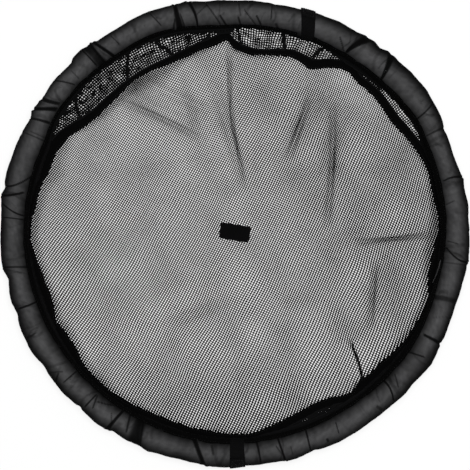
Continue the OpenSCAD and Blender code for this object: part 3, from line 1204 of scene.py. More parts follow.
@dataclass
class BaseOutline:
    """The slack base's edge: its full radius less how far it is drawn in at each direction."""

    radius: float = 364.5
    drawn_in: Knots = (
        (0, 0), (18, 0), (24, 5), (30, 11.4), (35, 16.2), (40, 14.6), (45, 12.4), (50, 14.5),
        (54, 9), (58, 12), (61, 20), (65, 35), (72, 31), (78, 39.5), (81, 43), (84, 43.6),
        (88, 37.4), (90.5, 30.6), (92, 13), (96, 22.5), (102, 30), (106, 36), (113, 40), (119, 40),
        (132, 41.5), (139, 40), (144, 31.5), (147, 23.5), (150, 14), (153, 9.5), (156, 7.2),
        (162, 10.5), (166, 2.6), (171, 2.8), (176, 0), (183, 0), (191, 8), (199, 13), (203, 11),
        (207, 3.5), (210, 9.5), (216, 10), (222, 1), (236, 0), (246, 5), (252, 4.5), (258, 2),
        (262, 3), (267, 0.5), (275, 0), (281, 9), (288, 17), (295, 22), (300, 18), (306, 5),
        (309, 12), (318, 11), (324, 3.5), (332, 0), (342, 0), (348, 8), (354, 5), (360, 0),
    )

    def edge(self, direction: Array) -> Array:
        """Radius of the edge at each direction in mm."""
        return self.radius - around(direction, self.drawn_in, 0.8)


@dataclass(frozen=True)
class Fold:
    """A fold in the lying base net, along a slightly bent line.

    Fields:
        start, end: its ends in mm.
        height: of its ridge in mm.
        width: half width of the ridge in mm.
        pull: net that it takes up on each side in mm.
        spread: how far from the ridge the net is drawn towards it in mm.
        bend: how far the middle of its line bows to the left in mm.
    """

    start: tuple[float, float]
    end: tuple[float, float]
    height: float
    width: float
    pull: float
    spread: float = 38.0
    bend: float = 0.0


@dataclass
class BaseNet:
    """The round panel of square mesh, as two sets of threads that cross.

    Fields:
        outline: the base's edge.
        warp_pitch, weft_pitch: distance between two threads in mm.
        warp_lie, weft_lie: angle in degrees between the threads and the x axis.
        warp_line: y in mm of the line that the warp is set out on.
        warp_share, weft_share: width of a thread as a share of the distance between two.
        warp_lift: how far the warp lies over the weft in mm.
        step: distance between two points of a thread in mm.
        level: height of the underside of a thread over the floor in mm.
        thread_height: in mm.
        sewn_in: how far in from the edge the threads end, between the binding's leaves, in mm.
        covered: how far in from the edge the binding covers the net, in mm.
        bunched_and_shadow: (direction, how far in from the binding the threads are thicker in mm):
        the net bunches there, and the thicker threads paint the tube's shadow.
        opened: (direction, share by which the threads are thinner where the edge is spread).
        folds: the folds, each drawing the net on from where the last has left it.
    """

    outline: BaseOutline
    warp_pitch: float = 3.8
    weft_pitch: float = 3.5
    warp_lie: float = 65.0
    weft_lie: float = 29.0
    warp_line: float = 120.0
    warp_share: float = 0.50
    weft_share: float = 0.36
    warp_lift: float = 0.3
    step: float = 7.0
    level: float = 0.95
    thread_height: float = 0.5
    sewn_in: float = 2.5
    covered: float = 13.0
    # thicker threads near the binding: net that bunches there, and painted shadow of the tube
    bunched_and_shadow: Knots = (
        (0, 14), (8, 9), (16, 5), (30, 4), (85, 4), (92, 8), (107, 8), (115, 24), (123, 18),
        (130, 12), (142, 12), (150, 12), (160, 30), (170, 18), (180, 12), (195, 10), (215, 14),
        (228, 12), (245, 8), (300, 6), (314, 9), (324, 12), (336, 7), (350, 12), (357, 20),
        (360, 14),
    )
    opened: Knots = (
        (0, 0), (34, 0), (44, 0.18), (54, 0.16), (62, 0.08), (76, 0.08), (88, 0), (360, 0),
    )
    folds: tuple[Fold, ...] = (
        Fold((-10, 322), (18, 72), 10.0, 5.0, 3.0, bend=-6),
        Fold((-38, 268), (14, 84), 6.0, 12.0, 3.6),
        Fold((30, 210), (24, 70), 4.0, 22.0, 2.0),
        Fold((130, 232), (92, 124), 8.0, 9.0, 3.6),
        Fold((146, 244), (100, 146), 3.0, 22.0, 3.6, spread=55.0),
        Fold((170, 222), (158, 2), 8.0, 8.0, 2.8, bend=4),
        Fold((178, 196), (160, 96), 3.0, 20.0, 2.8, spread=50.0),
        Fold((-90, 280), (-62, 165), 5.0, 8.0, 1.2),
        Fold((-206, 226), (-46, 152), 6.0, 9.0, 3.6, bend=2),
        Fold((-200, 244), (-56, 168), 3.0, 20.0, 3.6, spread=60.0),
        Fold((-180, 270), (-40, 206), 3.0, 14.0, 3.4, spread=50.0),
        Fold((205, -21), (340, -7), 7.0, 7.0, 4.6),
        Fold((242, -52), (232, -172), 6.0, 7.0, 2.4),
        Fold((196, -186), (222, -272), 7.0, 4.0, 5.0, spread=20.0, bend=4),
        Fold((-126, -168), (-7, -117), 4.0, 12.0, 1.6),
        Fold((-200, -60), (-130, 60), 3.0, 16.0, 1.2),
    )

    def warp(self, start: Array, run: Array) -> tuple[Array, Array]:
        """The warp threads: their slant dx/dy is followed up and down from the warp line.

        The slant is 0.5, a direction of 63 degrees. It falls from left to right by 0.04 in 100 mm
        and by 0.06 towards the near edge, and the net is dragged further askew at the far left.

        Args:
            start: (threads, 1) x of each thread on the warp line, in mm.
            run: (1, samples) y of each sample in mm.

        Returns:
            x and y of each sample, both (threads, samples).
        """
        y = run[0]
        step = y[1] - y[0]
        middle = int(np.argmin(np.abs(y - self.warp_line)))
        x = np.repeat(start, len(y), axis=1)

        def slant(k: int) -> Array:
            """The slant of every thread at sample k."""
            left = 0.18 * bell(x[:, k] + 320.0, 90.0) * bell(y[k] - 60.0, 130.0)
            return 0.50 - 0.0004 * x[:, k] + left - 0.06 * ease(-y[k], 200.0, 320.0)

        for k in range(middle, len(y) - 1):
            x[:, k + 1] = x[:, k] + step * slant(k)
        for k in range(middle, 0, -1):
            x[:, k - 1] = x[:, k] - step * slant(k)
        return x, run + 0 * x

    def weft(self, start: Array, run: Array) -> tuple[Array, Array]:
        """The weft threads: y = start + the integral of slope over x, from x = 0.

        The slope dy/dx is -0.56, a direction of 151 degrees, and -0.42 in the middle.

        Args:
            start: (threads, 1) y of each thread at x = 0, in mm.
            run: (1, samples) x of each sample in mm.

        Returns:
            x and y of each sample, both (threads, samples).
        """
        slope = -0.56 + 0.14 * bell(run - 30.0, 110.0) + 0 * start
        moved = np.cumsum(slope, axis=1) * (run[0, 1] - run[0, 0])
        middle = int(np.argmin(np.abs(run[0])))
        return run + 0 * start, start + moved - moved[:, middle : middle + 1]

    def settle(self, x: Array, y: Array) -> Array:
        """Where a place of the net lies once it has slumped.

        Each fold draws the net towards its line by pull * (1 - bell(d, w)) * bell(d, spread) and
        lifts it by height * bell(d, w), both fading out at its ends with sin(pi t) to the 0.6. The
        whole panel undulates by 0.5 mm, and its threads stray by 2 mm from their lines.

        Args:
            x, y: place in the lying net in mm.

        Returns:
            (..., 3) in mm.
        """
        px = x + 2.0 * wander(x, y, 130.0, 31) + 0.3 * wander(x, y, 45.0, 37)
        py = y + 2.0 * wander(x, y, 140.0, 32) + 0.3 * wander(x, y, 45.0, 38)
        z = self.level + 0.5 + 0.5 * wander(x, y, 120.0, 33)
        for fold in self.folds:
            a, b = np.array(fold.start, float), np.array(fold.end, float)
            length = np.hypot(*(b - a))
            tx, ty = (b - a) / length
            s = ((px - a[0]) * tx + (py - a[1]) * ty) / length
            t = np.clip(s, 0.0, 1.0)
            off = (py - a[1]) * tx - (px - a[0]) * ty - fold.bend * 4 * t * (1 - t)
            fade = np.clip(np.sin(np.pi * t), 0.0, 1.0) ** 0.6
            drawn = -np.sign(off) * fold.pull * fade
            drawn = drawn * (1 - bell(off, fold.width * 0.8)) * bell(off, fold.spread)
            px, py = px - drawn * ty, py + drawn * tx
            z = z + fold.height * fade * bell(off, fold.width)
        return np.stack([px, py, z], -1)

    def build(self, finishes: Finishes) -> Piece:
        """Warp and weft threads, kept where they lie inside the binding.

        A thread's width is its share of the distance to the next. It is 13 percent more towards
        the far right and the near edge, up to 45 percent more near the binding, where the net
        bunches and the tube's shadow is painted, and less where the net is spread.
        """
        reach = self.outline.radius * 1.45
        run = np.arange(-self.outline.radius, self.outline.radius, self.step)[None, :]
        warp_gap = self.warp_pitch / np.sin(np.radians(self.warp_lie))
        weft_gap = self.weft_pitch / np.cos(np.radians(self.weft_lie))
        warp = self.warp(np.arange(-reach, reach, warp_gap)[:, None], run)
        weft = self.weft(np.arange(-reach, reach, weft_gap)[:, None], run)
        laid = ((*warp, self.warp_share, self.warp_lift), (*weft, self.weft_share, 0.0))
        sets = []
        for x, y, share, lift in laid:
            flat_net = np.stack([x, y, 0 * x], -1)
            ahead = unit(np.gradient(flat_net, axis=1))
            spacing = np.linalg.norm(np.cross(np.gradient(flat_net, axis=0), ahead), axis=-1)
            lying = self.settle(x, y)
            lying[..., 2] += lift
            bearing = np.degrees(np.arctan2(lying[..., 1], lying[..., 0])) % 360.0
            inward = self.outline.edge(bearing) - np.hypot(lying[..., 0], lying[..., 1])
            kept = inward > self.sewn_in
            # near the edge the net is held down between the leaves of the binding
            rim = ease(inward, 8.0, 26.0)
            flat = self.level + lift
            lying[..., 2] = flat + (lying[..., 2] - flat) * rim
            kept[:, 1:-1] &= kept[:, :-2] | kept[:, 2:]
            deep = around(bearing, self.bunched_and_shadow, 2.0)
            thick = 1 + 0.03 * wander(x, y, 70.0, 36) + 0.13 * ease(x + y / 2, 20.0, 240.0)
            thick = thick + 0.13 * ease(-y, 190.0, 330.0)
            shown = inward - self.covered
            # thicker threads near the binding paint the tube's shadow as well as bunched net
            thick = thick + 0.45 * (1 - ease(shown, 0.0, deep * 1.6))
            thick = thick - around(bearing, self.opened, 3.0) * (1 - ease(shown, 20.0, 62.0))
            width = share * spacing * thick
            first = sum(len(points) for points, _, _ in sets)
            sets.append(threads(lying, kept, UP, width, self.thread_height, first))
        piece = net_piece("base_mesh_panel", sets)
        dress(piece, finishes.net, "base")
        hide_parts("base_net")
        return piece


@dataclass
class EdgeBinding:
    """Tape folded over the base's edge, sewn along its inner side.

    Fields:
        outline: the base's edge.
        width: of the folded tape in mm.
        thickness: of the tape in mm.
        spread: distance between the middles of its two leaves at the fold in mm.
        step: degrees between two rows of points.
        stitch_in: distance of the stitches from the upper leaf's inner side in mm.
        stitch_step: mm from stitch to stitch.
        rolled: (direction, how much wider than its cut the tape shows, rolled or twisted, in mm).
    """

    outline: BaseOutline
    width: float = 15.0
    thickness: float = 0.7
    spread: float = 2.0
    step: float = 0.4
    stitch_in: float = 2.6
    stitch_step: float = 4.2
    rolled: Knots = (
        (0, -3), (5, -4), (9, 1), (14, 0), (17, -2), (24, -1), (30, 1), (35, 2), (40, 0), (47, 0),
        (56, 0), (62, 6), (66, 3), (70, 0), (76, -2), (80, -5), (84, -2), (93, 2), (104, 0),
        (112, -2), (117, -5), (124, -6), (130, -2), (138, 0), (143, 3), (150, 6), (156, 5),
        (161, 2), (166, 4), (170, 1), (174, 1), (178, -3), (183, -3), (188, 0), (196, 1), (212, 1),
        (225, 2), (255, 2), (280, 1), (290, 2), (300, 2), (306, 0), (309, 4), (313, 0), (320, 1),
        (332, -1), (340, -3), (344, 0), (350, 0), (357, 0), (360, -3),
    )

    def ripple(self, direction: Array) -> Array:
        """How far the upper leaf's inner side lifts along the edge, about 0.3 to 0.9 mm."""
        arc = np.radians(direction) * self.outline.radius
        return 0.3 + 0.5 * (0.6 + 0.5 * wander(arc, 0 * arc, 60.0, 41))

    def shown(self, direction: Array) -> Array:
        """Width of the folded tape at each direction in mm."""
        return self.width + around(direction, self.rolled, 1.5)

    def build(self, finishes: Finishes) -> list[Piece]:
        """The tape's section is a flat U: lower leaf, rounded fold, upper leaf."""
        direction = np.arange(0.0, 360.0, self.step)[:, None]
        arc = np.radians(direction) * self.outline.radius
        edge = self.outline.edge(direction)
        wide = self.shown(direction) + 0.5 * wander(arc, 0 * arc, 25.0, 42)
        half_turn = np.linspace(-np.pi / 2, np.pi / 2, 7)[None, :]
        leaf = np.linspace(1.0, 0.0, 7)[None, :-1]
        radius = self.spread / 2
        lower_in = -(wide - radius) * leaf - radius
        fold_in = radius * np.cos(half_turn) - radius + 0 * wide
        inset = np.concatenate([lower_in, fold_in, lower_in[:, ::-1]], 1)
        mid = self.thickness / 2 + radius
        lower_z = np.broadcast_to(mid - radius, lower_in.shape)
        fold_z = np.broadcast_to(mid + radius * np.sin(half_turn), fold_in.shape)
        upper_z = mid + radius + self.ripple(direction) * 0.6 * (-lower_in[:, ::-1] / wide)
        level = np.concatenate([lower_z, fold_z, upper_z], 1)
        # square to the section's line, to give the tape its thickness
        ahead = unit(np.stack([np.gradient(inset, axis=1), np.gradient(level, axis=1)], -1))
        square = np.stack([ahead[..., 1], -ahead[..., 0]], -1) * self.thickness / 2
        a = np.radians(direction)

        def at(r: Array, z: Array) -> Array:
            """Points at radius r and height z."""
            return np.stack([r * np.cos(a), r * np.sin(a), z], -1)

        outer = at(edge + inset + square[..., 0], np.maximum(level + square[..., 1], 0.02))
        inner = at(edge + inset - square[..., 0], level - square[..., 1])
        across = np.concatenate([[0], np.cumsum(np.hypot(np.diff(inset[0]), np.diff(level[0])))])
        along = np.append(arc[:, 0], 2 * np.pi * self.outline.radius)
        tape = slab("edge_binding", Patch(outer, along, across, closed_rows=True), inner)
        dress(tape, finishes.binding, "base")
        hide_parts("base_binding")
        return [tape, self.seam(finishes)]

    def seam(self, finishes: Finishes) -> Piece:
        """One row of stitches along the upper leaf's inner side, evenly spaced on its line."""
        dense = np.arange(0.0, 360.0, 0.05)
        radius = self.outline.edge(dense) - self.shown(dense) + self.stitch_in
        a = np.radians(dense)
        line = np.stack([radius * np.cos(a), radius * np.sin(a)], -1)
        walked = np.concatenate([[0], np.cumsum(np.linalg.norm(np.diff(line, axis=0), axis=1))])
        marks = np.arange(0.0, walked[-1], self.stitch_step)
        x, y = (np.interp(marks, walked, line[:, k]) for k in (0, 1))
        z = self.thickness + self.spread + np.interp(marks, walked, self.ripple(dense)) * 0.48
        spots = np.stack([x, y, z], -1)
        ahead = unit(np.gradient(spots, axis=0))
        up = np.broadcast_to(UP, spots.shape)
        sewn = stitches("binding_stitches", spots, ahead, up, length=3.4, width=0.8)
        dress(sewn, finishes.stitch, "base")
        return sewn


@dataclass(frozen=True)
class Tuck:
    """A place where the wall net is gathered, from the binding to the hem.

    Fields:
        low, high: its directions at the binding and at the hem.
        pull: net that it takes up on each side in mm.
        lift: how far it stands out of the wall in mm.
        width: half width in mm.
        spread: how far from its line the net is drawn towards it in mm.
    """

    low: float
    high: float
    pull: float
    lift: float
    width: float
    spread: float = 22.0


@dataclass
class WallNet:
    """The wall of square mesh, sewn to the base's binding and to the hem.

    It runs out from the binding to the tube, then up along the tube's underside in a fold that
    takes up the rest of its cut height.

    Fields:
        shape: the ring's line.
        outline: the base's edge.
        cut: height of the wall as cut, in mm.
        radius: at which lengths along the wall are counted, in mm.
        pitch: distance between two threads in mm.
        sewn_in: how far in from the base's edge it is sewn on, in mm.
        low_z, lowest: height of that seam, and of the lowest place of the wall, in mm.
        cover: radius of the wall's seat round the tube in mm.
        clear: radius round the tube that it doesn't enter, in mm.
        seat_turn: turn round the tube where it is sewn to the hem.
        thread_height: in mm.
        gathered: shares of the cut height of the rows that are gathered into the hem.
        rising_width, round_width: (direction, width in mm) of the threads that rise, and of those
        that run round the ring. Where they are near solid they paint the shade under the tube.
        tucked_under: (direction, how far behind the tube's inside the wall's foot may stand, in mm).
        folded_in: (direction, share of the slack that is folded inwards, not under the tube).
        tucks: where it is gathered.
    """

    shape: RingShape
    outline: BaseOutline
    cut: float = 52.0
    radius: float = 345.0
    pitch: float = 3.9
    sewn_in: float = 3.75
    low_z: float = 3.3
    lowest: float = 2.9
    cover: float = 24.5
    clear: float = 24.4
    seat_turn: float = 210.0
    thread_height: float = 0.5
    gathered: tuple[float, ...] = (0.955, 0.970, 0.985)
    # threads up to 3.8 mm wide at a 3.9 mm pitch paint the shade under the tube
    rising_width: Knots = (
        (0, 3.5), (22, 3.5), (27, 2.3), (42, 2.3), (45, 3.65), (57, 3.65), (60, 2.5), (92, 2.5),
        (96, 2.75), (146, 2.75), (150, 2.9), (153, 3.5), (278, 3.5), (284, 3.8), (304, 3.8),
        (310, 3.5), (360, 3.5),
    )
    round_width: Knots = (
        (0, 2), (43, 2), (46, 2.9), (57, 2.9), (60, 2.3), (92, 2.3), (96, 2.9), (150, 2.9),
        (154, 2.2), (278, 2.2), (284, 3.7), (304, 3.7), (310, 2.2), (360, 2),
    )
    tucked_under: Knots = (
        (0, 4), (22, 4), (28, 8), (44, 8), (60, 10), (150, 10), (155, 4), (360, 4),
    )
    folded_in: Knots = (
        (0, 0.05), (22, 0.05), (28, 0.1), (44, 0.2), (50, 0.4), (60, 0.5), (100, 1), (136, 1),
        (142, 0.4), (150, 0.2), (165, 0.3), (172, 0.1), (186, 0.1), (200, 0.35), (222, 0.1),
        (275, 0.1), (290, 0.5), (310, 0.25), (330, 0.1), (360, 0.05),
    )
    tucks: tuple[Tuck, ...] = (
        Tuck(52.0, 50.0, 4.0, 2.0, 5.0),
        Tuck(66.0, 63.0, 2.0, 1.5, 5.0),
        Tuck(74.5, 77.5, 3.0, 2.0, 5.0),
        Tuck(88.0, 90.5, 4.0, 2.5, 5.0),
        Tuck(98.0, 94.5, 3.0, 2.0, 4.0),
        Tuck(103.5, 106.0, 1.6, 2.0, 6.0),
        Tuck(109.0, 114.5, 4.4, 3.0, 5.5),
        Tuck(125.5, 119.5, 2.6, 2.0, 4.5),
        Tuck(144.5, 138.5, 2.0, 1.6, 4.0),
        Tuck(152.5, 151.0, 1.2, 1.6, 4.0),
    )

    def section(self, direction: Array, share: Array) -> tuple[Array, Array]:
        """The wall's line at each direction: radius and height at a share of its cut height.

        The line goes through ten points: the binding, the tube's underside, and eight more that
        swing in from the tube's side in one fold, quickly out and evenly back up to the hem. The
        leg to the tube's underside holds cloth at full length, and the fold holds the rest.

        Args:
            direction: (n, 1) degrees.
            share: (1, m) from 0 at the binding to 1 at the hem.

        Returns:
            Radius and height, both (n, m) in mm.
        """
        rows = 9
        top_z = self.shape.height + self.cover * np.sin(np.radians(self.seat_turn))
        k = np.arange(rows + 1)
        z = self.low_z + (top_z - self.low_z) * k / rows
        side = self.shape.middle - np.sqrt(self.cover**2 - (self.shape.height - z) ** 2)
        low = self.outline.edge(direction) - self.sewn_in
        foot = self.shape.middle - self.cover + around(direction, self.tucked_under, 2.0)
        side = np.minimum(side, np.maximum(low, foot))
        side = side + around(direction, self.shape.shift, 2.0) * k / rows
        slack = self.cut - (side[:, 1:2] - low)
        deep = np.sqrt(np.maximum(slack**2 - (top_z - self.low_z) ** 2, 0.0)) / 2
        deep = deep * around(direction, self.folded_in, 3.0)
        swing = np.minimum(ease(k, 0.9, 3.6), (rows - k) / 5.4)
        radius = side - deep * swing
        radius[:, 0] = low[:, 0]
        z = np.broadcast_to(z, radius.shape)
        length = np.hypot(np.diff(radius, axis=1), np.diff(z, axis=1))
        walked = np.concatenate([np.zeros((len(radius), 1)), np.cumsum(length, axis=1)], 1)
        leg_one, total = walked[:, 1:2], walked[:, -1:]
        held = share * self.cut
        rest = (held - leg_one) * (total - leg_one) / np.maximum(self.cut - leg_one, 1.0)
        want = np.minimum(np.where(held < leg_one, held, leg_one + rest), total)
        leg = (walked[:, None, 1:-1] <= want[:, :, None]).sum(-1)
        row = np.arange(len(radius))[:, None]
        part = (want - walked[row, leg]) / np.maximum(length[row, leg], 1e-9)
        return (
            radius[row, leg] + part * (radius[row, leg + 1] - radius[row, leg]),
            z[row, leg] + part * (z[row, leg + 1] - z[row, leg]),
        )

    def settle(self, direction: Array, share: Array) -> Array:
        """Where a place of the wall lies, with its tucks and its fine crumples.

        A tuck draws the net round the ring towards its line as a base fold does. Between its sewn
        edges the wall also crumples: 1.6 mm up and down in waves of 24 mm, 0.5 mm in waves of 11 mm,
        1.3 mm in and out in waves of 15 mm, and 0.2 degrees round the ring in waves of 30 mm.

        Args:
            direction: (n, 1) degrees where the net is sewn to the binding.
            share: (1, m) from 0 at the binding to 1 at the hem.

        Returns:
            (n, m, 3) in mm.
        """
        bearing = direction + 0 * share
        free = np.clip(np.sin(np.pi * np.clip(share, 0.0, 1.0)), 0.0, 1.0) ** 0.5
        rise = np.zeros_like(bearing)
        for tuck in self.tucks:
            line = tuck.low + (tuck.high - tuck.low) * share
            off = np.radians(turn_gap(bearing, line)) * self.radius
            drawn = -np.sign(off) * tuck.pull * (1 - bell(off, tuck.width * 0.7))
            drawn = drawn * bell(off, tuck.spread)
            rise = rise + tuck.lift * bell(off, tuck.width) * free
            bearing = bearing + np.degrees(drawn / self.radius)
        radius, z = self.section(direction, share)
        arc = np.radians(bearing) * self.radius
        depth = share * self.cut
        crumple = 1.6 * wander(arc, depth * 0.8, 24.0, 51) + 0.5 * wander(arc, depth, 11.0, 53)
        a = np.radians(bearing + 0.20 * wander(arc, depth, 30.0, 54) * free)
        radius = radius + 1.3 * wander(arc, depth, 15.0, 52) * free
        height = z + np.maximum(crumple * free, -1.2) + rise
        middle = self.shape.middle + around(bearing, self.shape.shift, 2.0)
        sunk = np.sqrt(np.maximum(self.clear**2 - (middle - radius) ** 2, 0.0))
        under = radius > middle - self.clear
        height = np.where(under, np.minimum(height, self.shape.height - sunk), height)
        height = np.maximum(height, self.lowest)
        return np.stack([radius * np.cos(a), radius * np.sin(a), height], -1)

    def thread_width(self, direction: Array, share: Array, knots: Knots) -> Array:
        """Width of the threads in mm, uneven in patches of about 24 mm, and fuller at the hem."""
        arc = np.radians(direction) * self.radius
        patchy = 1 + 0.14 * wander(arc, share * self.cut, 24.0, 55)
        return around(direction, knots, 1.0) * patchy * (1 + 0.08 * ease(share, 0.5, 0.9))

    def build(self, finishes: Finishes) -> Piece:
        """Threads from the binding to the hem, and threads round the ring."""
        count = int(360.0 / np.degrees(self.pitch / self.radius))
        columns = np.arange(count)[:, None] * (360.0 / count)
        share = np.linspace(0.0, 1.0, 17)[None, :]
        rising = self.settle(columns, share)
        kept = np.ones(rising.shape[:2], bool)
        wide = self.thread_width(columns, share, self.rising_width)
        upright = threads(rising, kept, UP, wide, self.thread_height, 0)
        rounds = np.arange(0.5, self.cut / self.pitch - 0.4) * self.pitch / self.cut
        rounds = np.concatenate([rounds, self.gathered])[None, :]
        # the threads that run round end just past where they start
        dense = np.arange(0.0, 360.8, 0.78)[:, None]
        lying = np.swapaxes(self.settle(dense, rounds), 0, 1) + self.thread_height / 2 * UP
        kept = np.ones(lying.shape[:2], bool)
        wide = self.thread_width(dense, rounds, self.round_width).T
        level = threads(lying, kept, UP, wide, self.thread_height, len(upright[0]))
        piece = net_piece("wall_mesh", [upright, level])
        piece.data.materials.append(finishes.net)
        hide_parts("wall_net")
        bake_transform(piece)
        return piece


@dataclass
class LabelPatch:
    """A blank patch of woven cloth sewn to the middle of the base.

    Fields:
        length, width, thickness: of the patch in mm.
        middle: its place in mm.
        turn: of its length from +X in degrees.
        level: height of its underside over the floor in mm.
        corner: how far its corners are rounded in mm.
        inset, stitch_step: mm from its edge to the stitches, and from stitch to stitch.
    """

    length: float = 52.6
    width: float = 28.0
    thickness: float = 0.6
    middle: tuple[float, float] = (0.6, -2.8)
    turn: float = -9.5
    level: float = 2.2
    corner: float = 1.6
    inset: float = 2.0
    stitch_step: float = 2.6

    def lift(self, x: Array, y: Array) -> Array:
        """The patch's underside: flat where it is sewn, 0.5 mm up in the middle, corners curling."""
        corner = ((np.abs(x) / (self.length / 2)) ** 6) * ((np.abs(y) / (self.width / 2)) ** 6)
        return (
            self.level
            + 0.5 * np.cos(np.pi * x / self.length) * np.cos(np.pi * y / self.width)
            + 0.5 * corner
            + 0.12 * wander(x, y, 18.0, 61)
        )

    def turned(self, x: Array, y: Array, z: Array) -> Array:
        """Points or directions turned with the patch."""
        a = np.radians(self.turn)
        return np.stack([x * np.cos(a) - y * np.sin(a), x * np.sin(a) + y * np.cos(a), z], -1)

    def placed(self, x: Array, y: Array, z: Array) -> Array:
        """Points turned with the patch and moved to its middle."""
        return self.turned(x, y, z) + [*self.middle, 0.0]

    def build(self, finishes: Finishes) -> list[Piece]:
        """A slab with rounded corners and a folded hem, and its row of stitches."""
        u = np.sin(np.linspace(-np.pi / 2, np.pi / 2, 41))[:, None]
        v = np.sin(np.linspace(-np.pi / 2, np.pi / 2, 25))[None, :]
        # a corner is pulled in where both coordinates near their ends
        nip = self.corner * (np.abs(u) ** 12) * (np.abs(v) ** 12)
        x = u * self.length / 2 - np.sign(u) * nip
        y = v * self.width / 2 - np.sign(v) * nip
        x, y = np.broadcast_arrays(x, y)
        rim = 1 - np.maximum(np.abs(u) ** 24, np.abs(v) ** 24)
        near = np.minimum((1 - np.abs(u)) * self.length / 2, (1 - np.abs(v)) * self.width / 2)
        hem = 0.35 * (1 - ease(near, 2.6, 3.4))
        base = self.lift(x, y)
        top = base + self.thickness * (0.35 + 0.65 * rim) + hem
        patch = Patch(self.placed(x, y, top), u[:, 0] * self.length / 2, v[0] * self.width / 2)
        piece = slab("label_cloth", patch, self.placed(x, y, base))
        dress(piece, finishes.label, "base")
        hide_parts("label_patch")
        return [piece, self.seam(finishes)]

    def seam(self, finishes: Finishes) -> Piece:
        """A row of stitches round the patch, along its four sides."""
        hx, hy = self.length / 2 - self.inset, self.width / 2 - self.inset
        corners = np.array([(-hx, -hy), (hx, -hy), (hx, hy), (-hx, hy), (-hx, -hy)])
        spots, ahead = [], []
        for a, b in zip(corners[:-1], corners[1:]):
            count = int(np.hypot(*(b - a)) / self.stitch_step)
            s = ((np.arange(count) + 0.5) / count)[:, None]
            line = a + (b - a) * s
            level = self.lift(line[:, 0], line[:, 1]) + self.thickness + 0.35
            spots.append(self.placed(line[:, 0], line[:, 1], level))
            way = np.broadcast_to((b - a) / np.hypot(*(b - a)), line.shape)
            ahead.append(self.turned(way[:, 0], way[:, 1], 0 * way[:, 0]))
        spot = np.concatenate(spots)
        up = np.broadcast_to(UP, spot.shape)
        ahead = np.concatenate(ahead)
        sewn = stitches("label_stitches", spot, ahead, up, length=2.0, width=0.6)
        dress(sewn, finishes.stitch, "base")
        return sewn


# Studio -----------------------------------------------------------------------------------------


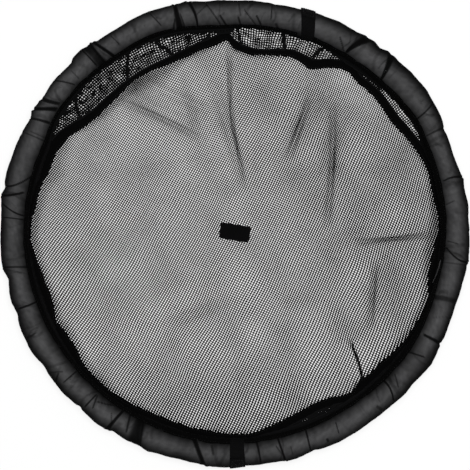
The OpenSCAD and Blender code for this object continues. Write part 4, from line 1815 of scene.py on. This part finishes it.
@dataclass
class Studio:
    """Plain white floor, a large soft lamp and a camera, both nearly overhead. Lengths in metres.

    Fields:
        lens, sensor: focal length and sensor width in mm.
        distance, elevation: of the camera from its aim, and degrees over the floor.
        aim: what the camera looks at.
        key_from, key_distance: direction and distance of the lamp.
        key_size, key_power: the lamp's diameter and its watts.
        sky: brightness of the sky as the net sees it.
        floor_half: half the floor's side in mm.
        floor_grey: how much light the floor reflects.
        floor_glow: how much brightness is added to it where the camera sees it.
    """

    lens: float = 85.0
    sensor: float = 36.0
    distance: float = 1.8925
    elevation: float = 87.0
    aim: tuple[float, float, float] = (0.0008, -0.0084, 0.0262)
    key_from: tuple[float, float, float] = (0.04, 0.04, 1.0)
    key_distance: float = 2.2
    key_size: float = 1.3
    key_power: float = 34.0
    sky: float = 0.30
    floor_half: float = 6000.0
    floor_grey: float = 0.27
    floor_glow: float = 0.78

    @staticmethod
    def seen(tree: Tree) -> Socket:
        """1 where the camera sees a place, also by reflection or through something, else 0."""
        rays = add_node(tree, "LightPath", {}).outputs
        direct = calculate(tree, "MAXIMUM", rays["Is Camera Ray"], rays["Is Glossy Ray"])
        return calculate(tree, "MAXIMUM", direct, rays["Is Transmission Ray"])

    def floor(self) -> None:
        """A wide square that looks white to the camera and keeps a soft shadow."""
        half, grey = self.floor_half, self.floor_grey
        points = np.array([(-half, -half, 0), (half, -half, 0), (half, half, 0), (-half, half, 0)])
        floor = make_piece("floor", points, np.array([[0, 1, 2, 3]]), smooth=False)
        material = bpy.data.materials.new("matt_white_floor")
        material.use_nodes = True
        tree = material.node_tree
        tree.nodes.clear()
        diffuse = add_node(tree, "BsdfDiffuse", {"Color": (grey, grey, grey, 1)})
        strength = calculate(tree, "MULTIPLY", self.seen(tree), self.floor_glow)
        glow = add_node(tree, "Emission", {"Strength": strength})
        both = add_node(tree, "AddShader", {0: diffuse.outputs[0], 1: glow.outputs[0]})
        add_node(tree, "OutputMaterial", {"Surface": both.outputs[0]})
        floor.data.materials.append(material)

    def light(self) -> None:
        """One large soft lamp and an even sky that looks white to the camera."""
        way = Vector(self.key_from).normalized()
        lamp = bpy.data.lights.new("key", "AREA")
        lamp.shape = "DISK"
        lamp.size = self.key_size
        lamp.energy = self.key_power
        key = bpy.data.objects.new("key", lamp)
        key.location = way * self.key_distance
        key.rotation_euler = way.to_track_quat("Z", "Y").to_euler()
        bpy.context.scene.collection.objects.link(key)
        world = bpy.data.worlds.new("sky")
        world.use_nodes = True
        tree = world.node_tree
        tree.nodes.clear()
        strength = add_node(tree, "MapRange", {0: self.seen(tree), 3: self.sky, 4: 1.0})
        sky = add_node(tree, "Background", {"Strength": strength.outputs[0]})
        add_node(tree, "OutputWorld", {"Surface": sky.outputs[0]})
        bpy.context.scene.world = world

    def camera(self) -> None:
        """A long lens that looks down on the middle of the ring."""
        data = bpy.data.cameras.new("camera")
        data.lens = self.lens
        data.sensor_width = self.sensor
        data.clip_end = 50.0
        camera = bpy.data.objects.new("camera", data)
        tilt = np.radians(self.elevation)
        away = Vector((0.0, -np.cos(tilt), np.sin(tilt)))
        camera.location = Vector(self.aim) + away * self.distance
        camera.rotation_euler = away.to_track_quat("Z", "Y").to_euler()
        bpy.context.scene.collection.objects.link(camera)
        bpy.context.scene.camera = camera

    def build(self) -> None:
        """Camera, floor and lights."""
        self.camera()
        self.floor()
        self.light()
        bpy.context.scene.view_settings.view_transform = "Standard"


def main() -> None:
    """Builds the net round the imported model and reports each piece."""
    logging.basicConfig(level=logging.INFO, format="%(name)s: %(message)s")
    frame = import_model()
    Studio().build()
    finishes = Finishes.build()

    shape = RingShape()
    outline = BaseOutline()
    for name, material in (("hoop_pipe", finishes.pipe), ("hoop_joiner", finishes.joiner)):
        pipe = frame["nodes"][name]
        for place in pipe.material_slots:
            place.material = material

    foam = FoamRing(shape).build(finishes)
    sleeve = Sleeve(shape).build(finishes)
    loose = LooseEnd(shape).build(finishes)
    hem = HemTape(shape).build(finishes)
    bands = WebbingBand(shape, "a", 70.3, lean=-2.3).build(finishes)
    bands += WebbingBand(shape, "b", 270.7).build(finishes)

    panel = BaseNet(outline).build(finishes)
    binding = EdgeBinding(outline).build(finishes)
    label = LabelPatch().build(finishes)
    wall = WallNet(shape, outline).build(finishes)

    for piece in [*foam, sleeve, loose, *hem, *bands, panel, *binding, *label, wall]:
        log.info("%s: %d faces", piece.name, len(piece.data.polygons))


if __name__ == "__main__":
    main()
